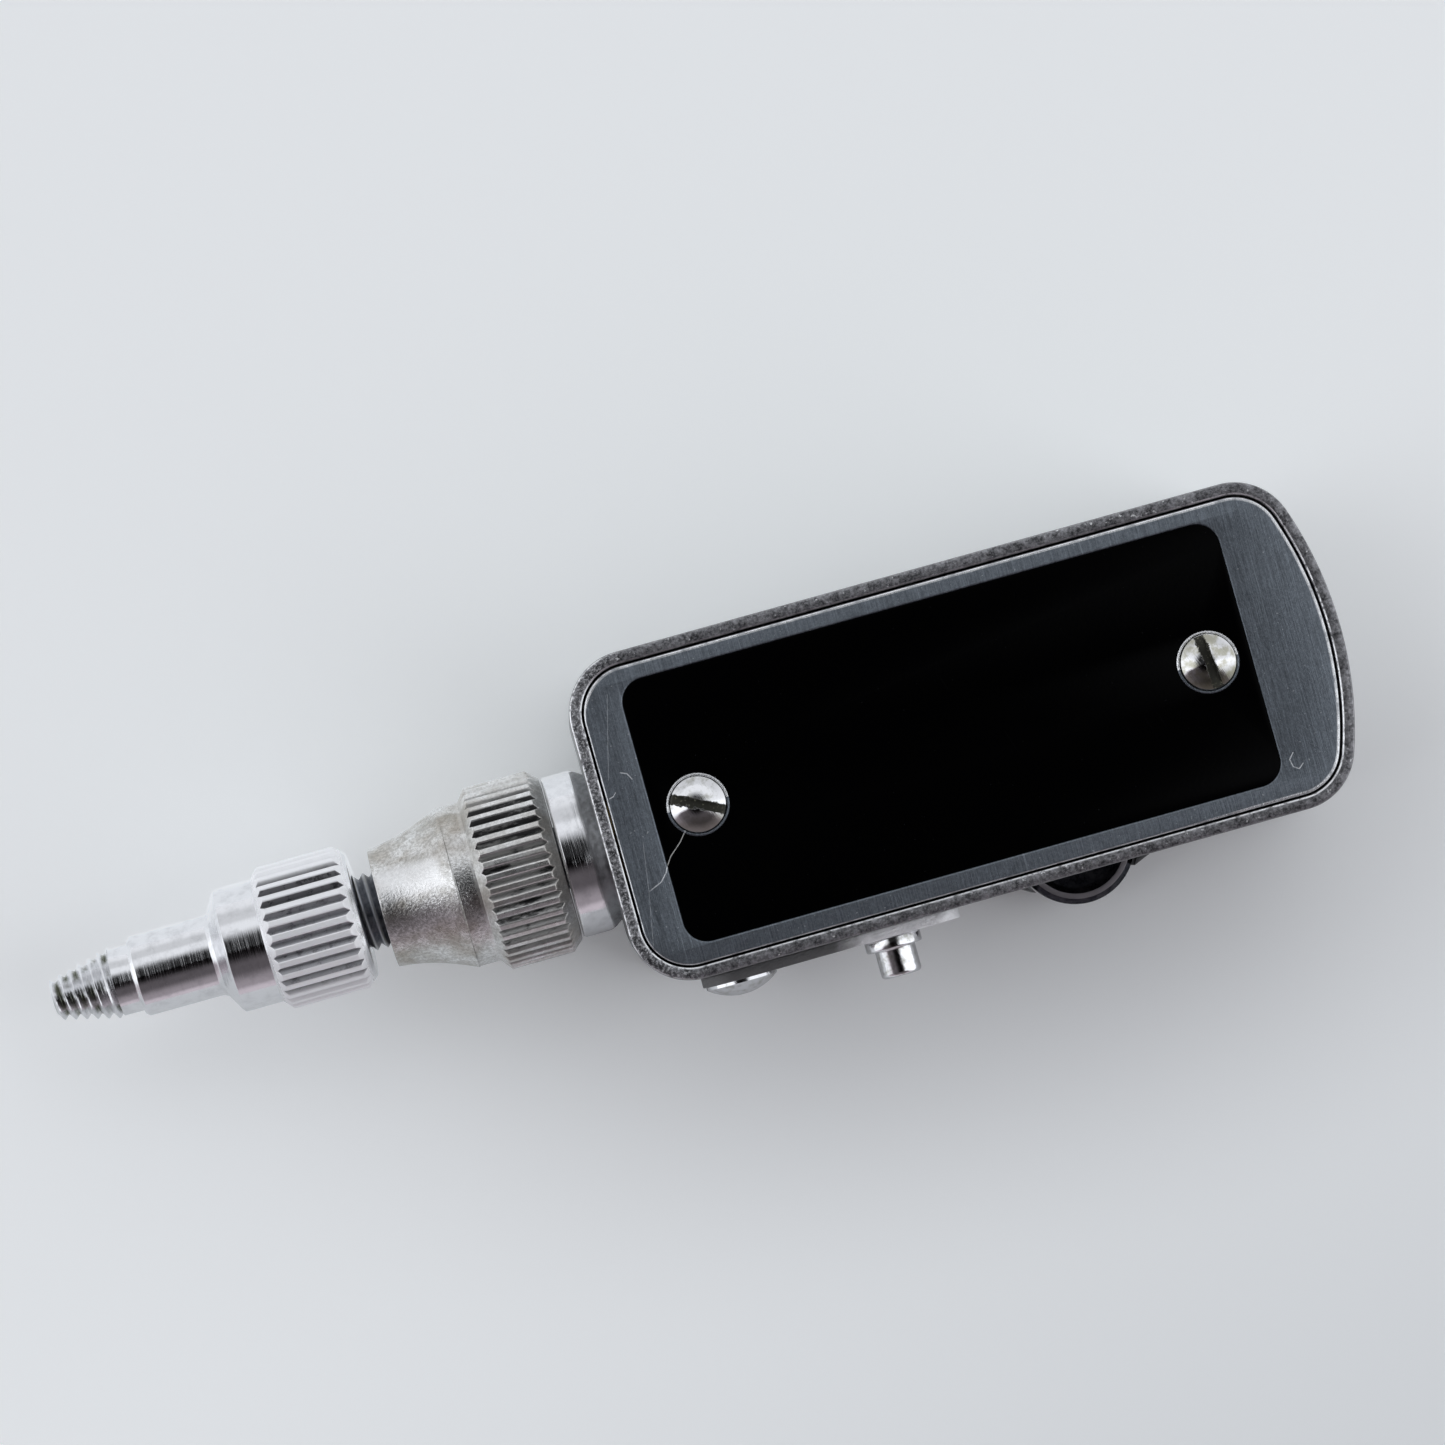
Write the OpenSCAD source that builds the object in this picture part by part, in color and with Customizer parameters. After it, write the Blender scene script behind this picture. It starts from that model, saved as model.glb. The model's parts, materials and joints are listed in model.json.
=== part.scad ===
// Clockwork self-timer that screws into a camera's release socket.
// Millimetres, +Z up. The origin is on the nose axis, where the tapered thread is widest.
// The nose points along -X, the start lever is on the -Y side and the case rests on its back.

/* [Release tip] */
// Radius of the tapered thread at its wide end
thread_r = 1.75; // [1.65:0.05:2]
// Radius of the tapered thread at its tip
thread_tip_r = 1.0; // [0.95:0.05:1.3]
// Length of the tapered thread
thread_len = 3.0; // [2.6:0.1:3.4]
// Radius of the neck behind the tapered thread
neck_r = 1.62; // [1.55:0.01:1.75]
// Length of the neck
neck_len = 1.0; // [0.7:0.1:1.4]
// Radius of the barrel
barrel_r = 1.94; // [1.85:0.01:2.2]
// Length of the barrel
barrel_len = 3.8; // [3.4:0.1:5]
// Radius of the plain step in front of the small grip
step_r = 2.98; // [2.7:0.02:3.2]
// Length of the plain step, with the slope in front of it
step_len = 2.55; // [2:0.05:3.2]
// Length of the slope in front of the plain step
step_slope = 0.7; // [0.5:0.05:0.9]
// Radius of the small grip over its ridges
grip_r = 3.44; // [3.3:0.02:3.8]
// Length of the small grip, with its ends
grip_len = 4.65; // [4:0.05:5.5]
// Number of grooves round the small grip
grip_grooves = 32; // [28:1:40]

/* [Nose] */
// Radius of the threaded stem over its crests
stem_r = 1.86; // [1.75:0.01:2]
// Bare length of the stem between the small grip and the cone
stem_show = 1.0; // [1:0.1:2]
// Length of the stem that is screwed into the tip
stem_hold = 5.0; // [4.6:0.1:5.4]
// Radius of the cone at its small end
cone_r = 2.88; // [2.6:0.02:3.1]
// Length of the cone
cone_len = 3.65; // [3:0.05:4.5]
// Flare of the cone, where 1 is straight and more is hollow
cone_flare = 1.7; // [1.2:0.1:2.2]
// Radius of the plain band behind the cone
band_r = 3.92; // [3.7:0.02:4.1]
// Length of the plain band
band_len = 1.05; // [0.7:0.05:1.5]
// Radius of the big grip over its ridges
collar_r = 4.43; // [4.3:0.01:4.8]
// Length of the big grip, with its ends
collar_len = 4.0; // [3.2:0.1:5]
// Number of grooves round the big grip
collar_grooves = 44; // [36:1:52]
// Radius of the base bush
bush_r = 3.9; // [3.75:0.05:4.2]
// Length of the base bush
bush_len = 1.35; // [1.2:0.05:2]
// Length of the slope between the bush and the case
bush_slope = 0.65; // [0.4:0.05:0.9]
// Radius of the stem's journal in the base bush
journal_r = 1.5; // [1.4:0.02:1.6]

/* [Plunger] */
// Radius of the plunger rod
rod_r = 0.55; // [0.5:0.01:0.6]
// Depth of the plunger's end inside the tapered thread, at rest
rod_sunk = 0.3; // [0.1:0.1:0.6]
// Wall of the guide sleeve round the rod
sleeve_wall = 0.4; // [0.3:0.02:0.42]

/* [Case] */
// Length of the case
case_len = 35.6; // [35.5:0.1:38]
// Width of the case
case_w = 15.6; // [15.5:0.1:17]
// Height of the case from its back to its rim
case_h = 12; // [11.8:0.1:14]
// Distance from the nose axis to the middle of the case's width
case_offset = 0.7; // [0.6:0.05:0.9]
// Wall of the case
wall = 0.6; // [0.45:0.05:0.65]
// Corner radius of the case, seen from the front
corner_r = 2.9; // [2.2:0.1:3.2]
// Radius of the bowed end
bow_r = 18; // [16:0.5:24]
// Radius of the edge round the back
back_edge_r = 0.9; // [0.6:0.1:1]

/* [Face plate] */
// Thickness of the face plate
face_t = 0.8; // [0.6:0.05:1]
// Depth of the face plate below the case's rim
face_sunk = 0.05; // [0.02:0.01:0.15]
// Length of the enamelled panel
panel_len = 28.6; // [27:0.1:30]
// Width of the enamelled panel
panel_w = 12.5; // [11:0.1:13]
// Distance from the front of the case to the panel
panel_start = 2.6; // [2:0.1:3.2]
// Distance from the nose axis to the middle of the panel's width
panel_offset = 0.75; // [0.6:0.05:0.9]
// Corner radius of the panel
panel_corner_r = 1.1; // [0.6:0.1:2]
// Depth of the enamel
enamel_t = 0.1; // [0.05:0.01:0.2]
// Radius of a cover screw's head
cover_head_r = 1.28; // [1.2:0.02:1.6]
// Height of a cover screw's head
cover_head_h = 0.55; // [0.4:0.05:0.8]
// Radius of a cover screw's shank
cover_shank_r = 0.6; // [0.5:0.05:0.7]
// Distance from the front of the case to the first cover screw
cover_start = 4.7; // [4.3:0.1:5.2]
// Distance between the two cover screws
cover_pitch = 24.5; // [23.5:0.1:25]

/* [Start lever] */
// Distance from the front of the case to the lever's pivot
lever_start = 4.6; // [4.4:0.1:4.8]
// Height of the lever's pivot above the nose axis
lever_up = 1.0; // [0.8:0.1:1.4]
// Length of the lever from its pivot to its end
lever_len = 10.7; // [10:0.1:12]
// Thickness of the lever
lever_t = 0.5; // [0.4:0.05:0.6]
// Radius of the lever's round end at its pivot
lever_r = 1.85; // [1.7:0.05:2]
// Radius of the lever's outer end
lever_end_r = 1.2; // [1:0.05:1.5]
// Distance from the pivot to the finger stud
stud_at = 7.35; // [7:0.05:8]
// Radius of the stud's flange
stud_flange_r = 1.35; // [1.2:0.05:1.5]
// Thickness of the stud's flange
stud_flange_t = 0.55; // [0.4:0.05:0.7]
// Radius of the stud
stud_r = 0.97; // [0.8:0.01:1.1]
// Length of the stud beyond its flange
stud_len = 1.35; // [1:0.05:1.6]
// Radius of the pivot screw's head
pivot_head_r = 1.7; // [1.5:0.05:1.8]
// Height of the pivot screw's head
pivot_head_h = 0.75; // [0.6:0.05:0.9]
// Radius of the pivot screw's shank
pivot_r = 0.7; // [0.6:0.05:0.8]

/* [Winding wheel] */
// Distance from the front of the case to the winding wheel's centre
wheel_start = 21.8; // [21.3:0.1:22]
// Distance from the outside of the case to the winding wheel's centre
wheel_inset = 1.15; // [1.1:0.05:1.3]
// Radius of the winding wheel's rim
rim_r = 2.88; // [2.8:0.01:2.95]
// Thickness of the winding wheel's rim
rim_t = 1.0; // [0.8:0.05:1.1]
// Width of the winding wheel's bright lip
rim_lip = 0.28; // [0.2:0.02:0.4]
// Reach of the pressed lips on both sides of the winding wheel
lip_out = 0.6; // [0.5:0.05:0.8]
// Length along the wall of the pressed lip away from the nose
lip_len = 1.15; // [1:0.05:1.4]
// Length along the wall of the pressed lip towards the nose
lip_short = 0.6; // [0.5:0.05:1.2]
// Radius of the stud that carries the winding wheel
wheel_stud_r = 0.4; // [0.35:0.05:0.45]

/* [Movement] */
// Thickness of the two movement plates
plate_t = 0.6; // [0.5:0.05:0.7]
// Height of the bosses that carry the face plate
boss_h = 0.7; // [0.6:0.05:0.9]
// Radius of a pillar between the plates
pillar_r = 0.8; // [0.7:0.05:0.9]
// Radius of a wheel's arbor
arbor_r = 0.45; // [0.4:0.01:0.5]
// Radius of a pivot at the end of an arbor
pivot_end_r = 0.3; // [0.25:0.01:0.33]
// Module of the rack and of the winding gears
rack_module = 0.4; // [0.39:0.005:0.41]
// Module of the drive wheel and second pinion
drive_module = 0.3; // [0.29:0.005:0.305]
// Module of the second wheel and escape pinion
second_module = 0.22; // [0.21:0.005:0.225]
// Thickness of a train wheel
wheel_t = 0.5; // [0.4:0.05:0.55]
// Thickness of the rack
rack_t = 1.2; // [1:0.1:1.3]
// Width of the rack behind its teeth
rack_w = 1.5; // [1.3:0.05:1.6]
// Tip radius of the escape wheel
escape_r = 2.3; // [2.2:0.05:2.4]
// Radius of the drive spring's wire
wire_r = 0.13; // [0.1:0.01:0.16]
// Mean radius of the drive spring
coil_r = 0.85; // [0.75:0.05:0.9]

/* [Hidden] */
$fn = 64;
over = 1;

// Clearances
run_gap = 0.05;
face_gap = 0.05;
rim_gap = 0.2;
plate_gap = 0.1;
face_fit = 0.08;
tip_gap = 0.07;
head_play = 0.15;
bore_gap = 0.2;
nut_room = 0.25;

// Stations along the nose axis
x_thread_tip = -thread_len;
x_barrel = neck_len;
x_step = x_barrel + barrel_len;
x_grip = x_step + step_len;
x_grip_end = x_grip + grip_len;
x_cone = x_grip_end + stem_show;
x_band = x_cone + cone_len;
x_collar = x_band + band_len;
x_collar_end = x_collar + collar_len;
x_bush = x_collar_end + face_gap;
x_case = x_bush + bush_len + bush_slope;
x_case_end = x_case + case_len;

// The inside of the nose
chamfer = 0.45;
rear_chamfer = 0.6;
rear_drop = 0.52;
edge_break = 0.15;
knurl_depth = 0.22;
groove_side = 0.24;
cone_steps = 12;
tip_bore_r = rod_r + tip_gap;
sleeve_r = rod_r + run_gap + sleeve_wall;
sleeve_lip = 0.15;
sleeve_head_r = sleeve_r + sleeve_lip;
x_sleeve = 0.6;
x_sleeve_head_end = x_step + chamfer;
x_tip_room = x_sleeve_head_end + head_play;
x_stem = x_grip_end - stem_hold;
sleeve_tail = 3.5;
x_sleeve_end = x_stem + sleeve_tail;
x_stem_bore_end = x_cone;
stem_bore_r = rod_r + bore_gap;
slope_r = bush_r - 0.35;
nut_t = 1.2;
nut_wall = 0.6;
nut_slot = 0.9;
shank_spare = 0.2;
x_shank_end = x_case + wall + nut_t + shank_spare;
ring_t = 0.4;
ring_r = 2.4;
ring_groove_r = journal_r - 0.3;
stem_tail = 0.4;
x_ring = x_shank_end + face_gap;
x_stem_end = x_ring + ring_t + stem_tail;

// The case
case_mid = case_offset;
half_w = case_w / 2;
y_low = case_mid - half_w;
y_low_in = y_low + wall;
z_back = -case_h / 2;
z_rim = case_h / 2;
z_floor = z_back + wall;
corner_y = half_w - corner_r;
bow_x = x_case_end - bow_r;
corner_x = bow_x + sqrt(pow(bow_r - corner_r, 2) - pow(corner_y, 2));
bow_angle = atan(corner_y / (corner_x - bow_x));

// The face plate, its panel and its screws
z_face_top = z_rim - face_sunk;
z_face = z_face_top - face_t;
face_inset = wall + face_fit;
x_panel = x_case + panel_start;
cover_x = [x_case + cover_start, x_case + cover_start + cover_pitch];
cover_y = case_mid;
cover_slot_turn = [-26, -83];
cover_ring = 0.2;
dome_edge = 0.15;
slot_w = 0.42;
slot_depth = 0.35;
boss_r = 2 * cover_shank_r;

// Levels of the movement, with the rooms between its wheels
gear_up = 0.35;
drive_up = 0.4;
screw_room = 0.5;
escape_down = 1.8;
bar_down = 1.0;
gear_t = 1.0;
click_t = 0.4;
escape_t = 0.4;
bar_t = 0.6;
pinion_over = 0.1;
z_lower = z_floor + plate_t;
z_upper_top = z_face - boss_h;
z_upper = z_upper_top - plate_t;
z_gear = z_lower + gear_up;
z_rim_low = z_gear + gear_t;
z_rim_top = z_rim_low + rim_t;
z_drive = rack_t / 2 + drive_up;
z_drive_top = z_drive + wheel_t;
z_click = z_drive_top + face_gap;
z_second = z_click + click_t + screw_room;
z_escape = -rack_t / 2 - escape_down;
z_bar = z_escape - bar_down;

// The nut of the base bush fits under the upper plate
nut_r = z_upper - nut_room;
bush_shank_r = nut_r - nut_wall;

// Gears: teeth, pitch radii and centres in the plane of the plates
gear_teeth = 12;
pinion_teeth = 8;
drive_teeth = 24;
second_teeth = 32;
escape_teeth = 15;
gear_r = gear_teeth * rack_module / 2;
pinion_r = pinion_teeth * rack_module / 2;
drive_r = drive_teeth * drive_module / 2;
second_pinion_r = pinion_teeth * drive_module / 2;
second_r = second_teeth * second_module / 2;
escape_pinion_r = pinion_teeth * second_module / 2;
stroke = PI * pinion_r;
rack_line = 0.9;
wheel_at = [x_case + wheel_start, y_low + wheel_inset];
drive_y = -rack_line - pinion_r;
drive_x = wheel_at[0] + sqrt(pow(2 * gear_r, 2) - pow(drive_y - wheel_at[1], 2));
drive_at = [drive_x, drive_y];
second_dir = 75;
second_at = drive_at + polar(drive_r + second_pinion_r, second_dir);
escape_dir = 145;
escape_at = second_at + polar(second_r + escape_pinion_r, escape_dir);
pallet_span = 3.5 * 360 / escape_teeth;
pallet_gap = 0.05;
pallet_r = escape_r + pallet_gap;
anchor_at = escape_at + polar(pallet_r / cos(pallet_span / 2), 180);

// The winding wheel's dish, its bevel and the head of its stud
rim_dish = 0.35;
rim_bevel = 0.25;
stud_head_r = wheel_stud_r + 0.5;
stud_head_t = 0.3;
lip_t = 0.35;

// The ratchet, whose saw teeth push the click when the rack drives the arbor
ratchet_teeth = 12;
ratchet_r = 1.6;
ratchet_root_r = 1.25;
click_dir = 4;
click_nose_gap = 0.08;
click_pin_r = 0.2;
click_boss_r = 0.42;
click_head_r = 0.35;
click_head_t = 0.2;
click_reach = 2.5;
click_at = drive_at + polar(click_reach, click_dir + 52);
leaf_t = 0.12;
leaf_foot_r = 0.3;
leaf_gap = 0.07;
light_hole_r = 0.5;

// The escape wheel, the anchor and the inertia bar
escape_tooth = 0.6;
escape_rim = 0.35;
hub_r = 0.75;
anchor_arbor_r = 0.35;
pallet_w = 0.2;
pallet_len = 0.5;
bar_reach = 1.9;
bar_w = 0.6;
bar_weight_r = 0.55;

// Phases that put each pair of gears in mesh
gear_phase = 0;
rack_pinion_phase = 90;
drive_phase = 0;
second_wheel_phase = 0;
wheel_phase = meshed(gear_phase, gear_teeth, gear_teeth, direction(drive_at, wheel_at));
second_phase = meshed(drive_phase, drive_teeth, pinion_teeth, second_dir);
escape_phase = meshed(second_wheel_phase, second_teeth, pinion_teeth, escape_dir);
escape_wheel_phase = 180 - pallet_span / 2 + 90 / escape_teeth;

// The rack, its lug and its spring
rack_back = -rack_line + rack_module;
lug_t = 1.2;
lug_h = 2.2;
lug_side = 0.7;
lug_over = 0.2;
lug_room = 0.67;
x_lug = x_stem_end + stroke + lug_room;
x_spring = x_lug + lug_t;
spring_room = 0.65;
spring_y = rack_back + rack_w + coil_r + spring_room;
teeth_spare = 1.75;
rack_tooth = PI * rack_module;
rack_addendum = 0.8 * rack_module;
x_rack_end = drive_x + stroke + teeth_spare + rack_tooth / 2;
guide_r = 0.3;
guide_room = 0.3;
post_t = 1.2;
post_r = 1.2;
anchor_room = 2.4;
x_post = anchor_at[0] - anchor_room;
spring_turns = 9;
ring_steps = 8;
wire_sides = 6;

// The pillars stand near the corners of the plates
pillar_in = 2.3;
bow_room = 0.9;
pillar_at = [
    for (x = [x_case + pillar_in, x_case_end - pillar_in - bow_room])
        for (side = [1, -1])
            [x, case_mid + side * (half_w - pillar_in)]
];
pillar_screw_r = 0.4;
pillar_head_r = 0.75;
pillar_head_h = 0.4;

// The start lever and its brake
lever_gap = 0.1;
x_lever = x_case + lever_start;
y_lever = y_low - lever_gap;
washer_t = 0.2;
washer_r = pivot_r + 0.6;
brake_hub_r = pivot_r + 0.5;
brake_t = 0.5;
brake_reach = 8.2;
brake_w = 1.0;
brake_gap = 0.05;
z_brake = rack_t / 2 + brake_gap;
y_brake = y_low_in + washer_t;

function polar(r, a) = [r * cos(a), r * sin(a)];
function arc(c, r, from, to, steps) = [for (i = [0:steps]) c + polar(r, from + (to - from) * i / steps)];
function direction(a, b) = atan2(b[1] - a[1], b[0] - a[0]);

// Phase of a gear of n_b teeth that meshes with one of n_a teeth at phase_a, seen in direction dir
function meshed(phase_a, n_a, n_b, dir) = dir + 180 + 180 / n_b - (phase_a - dir) * n_a / n_b;

// Outline of a clock gear: each tooth as [share of a tooth's angle, height in modules]
tooth_form = [[-0.24, -1.15], [-0.2, 0], [-0.13, 0.55], [-0.05, 0.85]];
tooth = concat(tooth_form, [for (i = [3:-1:0]) [-tooth_form[i][0], tooth_form[i][1]]]);
function gear_outline(n, m, phase) = [
    for (i = [0:n - 1])
        for (p = tooth)
            polar(n * m / 2 + p[1] * m, phase + (i + p[0]) * 360 / n)
];

// Outline of a cylinder with V grooves between narrow lands
function grooved_outline(r, n, depth) = [
    for (i = [0:n - 1])
        for (p = [[groove_side, 0], [0.5, depth], [1 - groove_side, 0]])
            polar(r - p[1], (i + p[0]) * 360 / n)
];

// Profile of the hollow cone, from its small end to the band
function flare(x0, len, r0, r1, power, steps) = [
    for (i = [0:steps])
        [x0 + len * i / steps, r0 + (r1 - r0) * pow(i / steps, power)]
];

// The points round the spring's wire at turn t
function coil_ring(t, x0, pitch) = [
    for (s = [0:wire_sides - 1])
        let (a = 360 * t, b = 360 * s / wire_sides, r = coil_r + wire_r * cos(b))
            [x0 + pitch * t + wire_r * sin(b), spring_y + r * cos(a), r * sin(a)]
];

// Revolved about the nose axis: points are [x, radius]
module turned(points) {
    rotate([0, 90, 0])
        rotate_extrude()
            polygon([for (p = points) [p[1], p[0]]]);
}

module rod_x(r, x0, x1) {
    translate([x0, 0, 0])
        rotate([0, 90, 0])
            cylinder(r = r, h = x1 - x0);
}

// A cylinder along Y from y0 up to y1
module rod_y(r, y0, y1) {
    translate([0, y1, 0])
        rotate([90, 0, 0])
            cylinder(r = r, h = y1 - y0);
}

module post(at, r, z0, z1) {
    translate([at[0], at[1], z0])
        cylinder(r = r, h = z1 - z0);
}

// A grip with V grooves whose ends run out on the chamfers of the points
module knurled(points, r, grooves, x0, x1) {
    intersection() {
        turned(points);
        translate([x0, 0, 0])
            rotate([0, 90, 0])
                linear_extrude(x1 - x0)
                    polygon(grooved_outline(r, grooves, knurl_depth));
    }
}

// A low dome on +Z with a short straight edge
module dome(r, h) {
    cap = h - dome_edge;
    ball = (r * r + cap * cap) / (2 * cap);
    intersection() {
        cylinder(r = r, h = h);
        translate([0, 0, h - ball])
            sphere(r = ball, $fn = 96);
    }
}

// The case seen from the front, drawn in by inset
module case_outline(inset) {
    x_front = x_case + corner_r;
    top = case_mid + corner_y;
    bottom = case_mid - corner_y;
    r = corner_r - inset;
    polygon(concat(
        arc([x_front, top], r, 180, 90, 16),
        arc([corner_x, top], r, 90, bow_angle, 12),
        arc([bow_x, case_mid], bow_r - inset, bow_angle, -bow_angle, 24),
        arc([corner_x, bottom], r, -bow_angle, -90, 12),
        arc([x_front, bottom], r, -90, -180, 16)
    ));
}

// The case as a solid block whose back edge is rounded
module case_block() {
    leaf = 0.01;
    hull() {
        for (a = [15:15:90])
            translate([0, 0, z_back + back_edge_r * (1 - sin(a))])
                linear_extrude(leaf)
                    case_outline(back_edge_r * (1 - cos(a)));
        translate([0, 0, z_back + back_edge_r])
            linear_extrude(case_h - back_edge_r)
                case_outline(0);
    }
}

module plate(z0, t) {
    translate([0, 0, z0])
        linear_extrude(t)
            case_outline(wall + plate_gap);
}

// An arbor between the plates, with a pivot in each of them
module arbor(at, r) {
    post(at, r, z_lower + face_gap, z_upper - face_gap);
    post(at, pivot_end_r, z_floor + face_gap, z_upper_top - face_gap);
}

module gear(at, n, m, phase, z0, t, bore_r) {
    translate([at[0], at[1], z0])
        difference() {
            linear_extrude(t)
                polygon(gear_outline(n, m, phase));
            translate([0, 0, -over])
                cylinder(r = bore_r, h = t + 2 * over);
        }
}

// Openings between the spokes of a train wheel
module spoke_gaps(at, r_out, r_in, spokes, z0, t) {
    translate([at[0], at[1], z0 - over])
        linear_extrude(t + 2 * over)
            difference() {
                circle(r = r_out);
                circle(r = r_in);
                for (i = [0:spokes - 1])
                    rotate(i * 360 / spokes)
                        translate([0, -wheel_t / 2])
                            square([r_out + over, wheel_t]);
            }
}

module case_shell() color([0.33, 0.33, 0.34]) {
    difference() {
        case_block();
        translate([0, 0, z_floor])
            linear_extrude(case_h)
                case_outline(wall);
        rod_x(bush_shank_r, x_case - over, x_case + wall + over);
        translate([x_lever, 0, lever_up])
            rod_y(pivot_r + run_gap, y_low - over, y_low_in + over);
        post(wheel_at, rim_r + rim_gap, z_gear - rim_gap, z_rim_top + rim_gap);
    }
    wheel_lips();
}

// Wedges of sheet pressed out of the wall, whose tips come near the winding wheel
module wheel_lips() {
    for (side = [0, 1]) {
        len = side == 0 ? lip_len : lip_short;
        rise = lip_t * norm([len, lip_out]) / len;
        tip = sqrt(pow(rim_r + rim_gap, 2) - pow(wheel_inset + lip_out - rise, 2));
        root = tip + len;
        root_in = root - len * rise / lip_out;
        translate([wheel_at[0], y_low, z_gear - rim_gap])
            mirror([side, 0, 0])
                linear_extrude(z_rim_top - z_gear + 2 * rim_gap)
                    polygon([
                        [root, wall / 2],
                        [root, 0],
                        [tip, -lip_out],
                        [tip, rise - lip_out],
                        [root_in, 0],
                        [root_in, wall / 2]
                    ]);
    }
}

module face_plate() color([0.62, 0.64, 0.66]) {
    difference() {
        translate([0, 0, z_face])
            linear_extrude(face_t)
                case_outline(face_inset);
        translate([0, 0, z_face_top - enamel_t])
            linear_extrude(enamel_t + over)
                panel_outline();
        for (x = cover_x)
            post([x, cover_y], cover_shank_r + run_gap, z_face - over, z_face_top + over);
    }
}

// The enamelled field, which leaves a bare ring round each cover screw
module panel_outline() {
    mid = case_mid + panel_offset - case_offset;
    inner = panel_w / 2 - panel_corner_r;
    difference() {
        union() {
            for (x = [x_panel + panel_corner_r, x_panel + panel_len - panel_corner_r])
                for (side = [-1, 1])
                    translate([x, mid + side * inner])
                        circle(r = panel_corner_r);
            translate([x_panel + panel_corner_r, mid - panel_w / 2])
                square([panel_len - 2 * panel_corner_r, panel_w]);
            translate([x_panel, mid - inner])
                square([panel_len, 2 * inner]);
        }
        for (x = cover_x)
            translate([x, cover_y])
                circle(r = cover_head_r + cover_ring);
    }
}

module panel_enamel() color([0.03, 0.03, 0.035]) {
    translate([0, 0, z_face_top - enamel_t])
        linear_extrude(enamel_t)
            panel_outline();
}

module cover_screws() color([0.8, 0.8, 0.8]) {
    for (i = [0:1])
        translate([cover_x[i], cover_y, z_face_top]) {
            difference() {
                dome(cover_head_r, cover_head_h);
                rotate(cover_slot_turn[i])
                    translate([-2 * cover_head_r, -slot_w / 2, cover_head_h - slot_depth])
                        cube([4 * cover_head_r, slot_w, over]);
            }
            post([0, 0], cover_shank_r, z_upper + face_gap - z_face_top, 0);
        }
}

module base_bush() color([0.85, 0.85, 0.85]) {
    difference() {
        turned([
            [x_bush, 0],
            [x_bush, bush_r - edge_break],
            [x_bush + edge_break, bush_r],
            [x_bush + bush_len, bush_r],
            [x_case - edge_break, slope_r],
            [x_case, slope_r],
            [x_case, bush_shank_r],
            [x_shank_end, bush_shank_r],
            [x_shank_end, 0]
        ]);
        rod_x(journal_r + run_gap, x_bush - over, x_shank_end + over);
    }
}

// A round nut with two driver slots
module base_nut() color([0.72, 0.6, 0.35]) {
    difference() {
        rod_x(nut_r, x_case + wall, x_case + wall + nut_t);
        rod_x(bush_shank_r, x_case, x_shank_end + over);
        translate([x_case + wall + nut_t / 2, -nut_slot / 2, -2 * nut_r])
            cube([nut_t, nut_slot, 4 * nut_r]);
    }
}

module swivel_collar() color([0.56, 0.53, 0.49]) {
    difference() {
        union() {
            turned(concat(
                [[x_cone, 0]],
                flare(x_cone, cone_len, cone_r, band_r, cone_flare, cone_steps),
                [[x_collar, band_r], [x_collar, 0]]
            ));
            knurled([
                [x_collar, 0],
                [x_collar, band_r],
                [x_collar + chamfer, collar_r],
                [x_collar_end - rear_chamfer, collar_r],
                [x_collar_end, collar_r - rear_drop],
                [x_collar_end, 0]
            ], collar_r, collar_grooves, x_collar, x_collar_end);
        }
        rod_x(stem_r, x_cone - over, x_collar_end - chamfer);
        rod_x(journal_r, x_cone, x_collar_end + over);
    }
}

module threaded_stem() color([0.12, 0.12, 0.12]) {
    difference() {
        union() {
            rod_x(stem_r, x_stem, x_collar_end - chamfer);
            rod_x(journal_r, x_collar, x_stem_end);
        }
        rod_x(sleeve_r + run_gap, x_stem - over, x_stem_bore_end);
        rod_x(stem_bore_r, x_stem, x_stem_end + over);
        difference() {
            rod_x(stem_r + over, x_ring, x_ring + ring_t);
            rod_x(ring_groove_r, x_shank_end, x_stem_end);
        }
    }
}

// An open ring that snaps into the groove of the stem
module stem_ring() color([0.3, 0.3, 0.33]) {
    difference() {
        rod_x(ring_r, x_ring, x_ring + ring_t);
        rod_x(ring_groove_r, x_shank_end, x_stem_end);
        translate([x_shank_end, -0.7 * journal_r, -2 * ring_r])
            cube([ring_t + over, 1.4 * journal_r, 2 * ring_r]);
    }
}

module guide_sleeve() color([0.75, 0.62, 0.33]) {
    difference() {
        union() {
            rod_x(sleeve_head_r, x_sleeve, x_sleeve_head_end);
            rod_x(sleeve_r, x_sleeve, x_sleeve_end);
        }
        rod_x(rod_r + run_gap, x_sleeve - over, x_sleeve_end + over);
    }
}

module release_tip() color([0.85, 0.85, 0.85]) {
    difference() {
        union() {
            turned([
                [x_thread_tip, 0],
                [x_thread_tip, thread_tip_r],
                [0, thread_r],
                [0, neck_r],
                [x_barrel, neck_r],
                [x_barrel, barrel_r - edge_break],
                [x_barrel + edge_break, barrel_r],
                [x_step, barrel_r],
                [x_step + step_slope / 4, barrel_r + (step_r - barrel_r) / 8],
                [x_step + step_slope, step_r],
                [x_grip, step_r],
                [x_grip, 0]
            ]);
            knurled([
                [x_grip, 0],
                [x_grip, step_r],
                [x_grip + chamfer, grip_r],
                [x_grip_end - rear_chamfer, grip_r],
                [x_grip_end, grip_r - rear_drop],
                [x_grip_end, 0]
            ], grip_r, grip_grooves, x_grip, x_grip_end);
        }
        rod_x(tip_bore_r, x_thread_tip - over, x_step);
        rod_x(sleeve_head_r + run_gap, x_sleeve - face_gap, x_tip_room);
        rod_x(stem_r + run_gap, x_tip_room, x_grip_end + over);
    }
}

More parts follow.
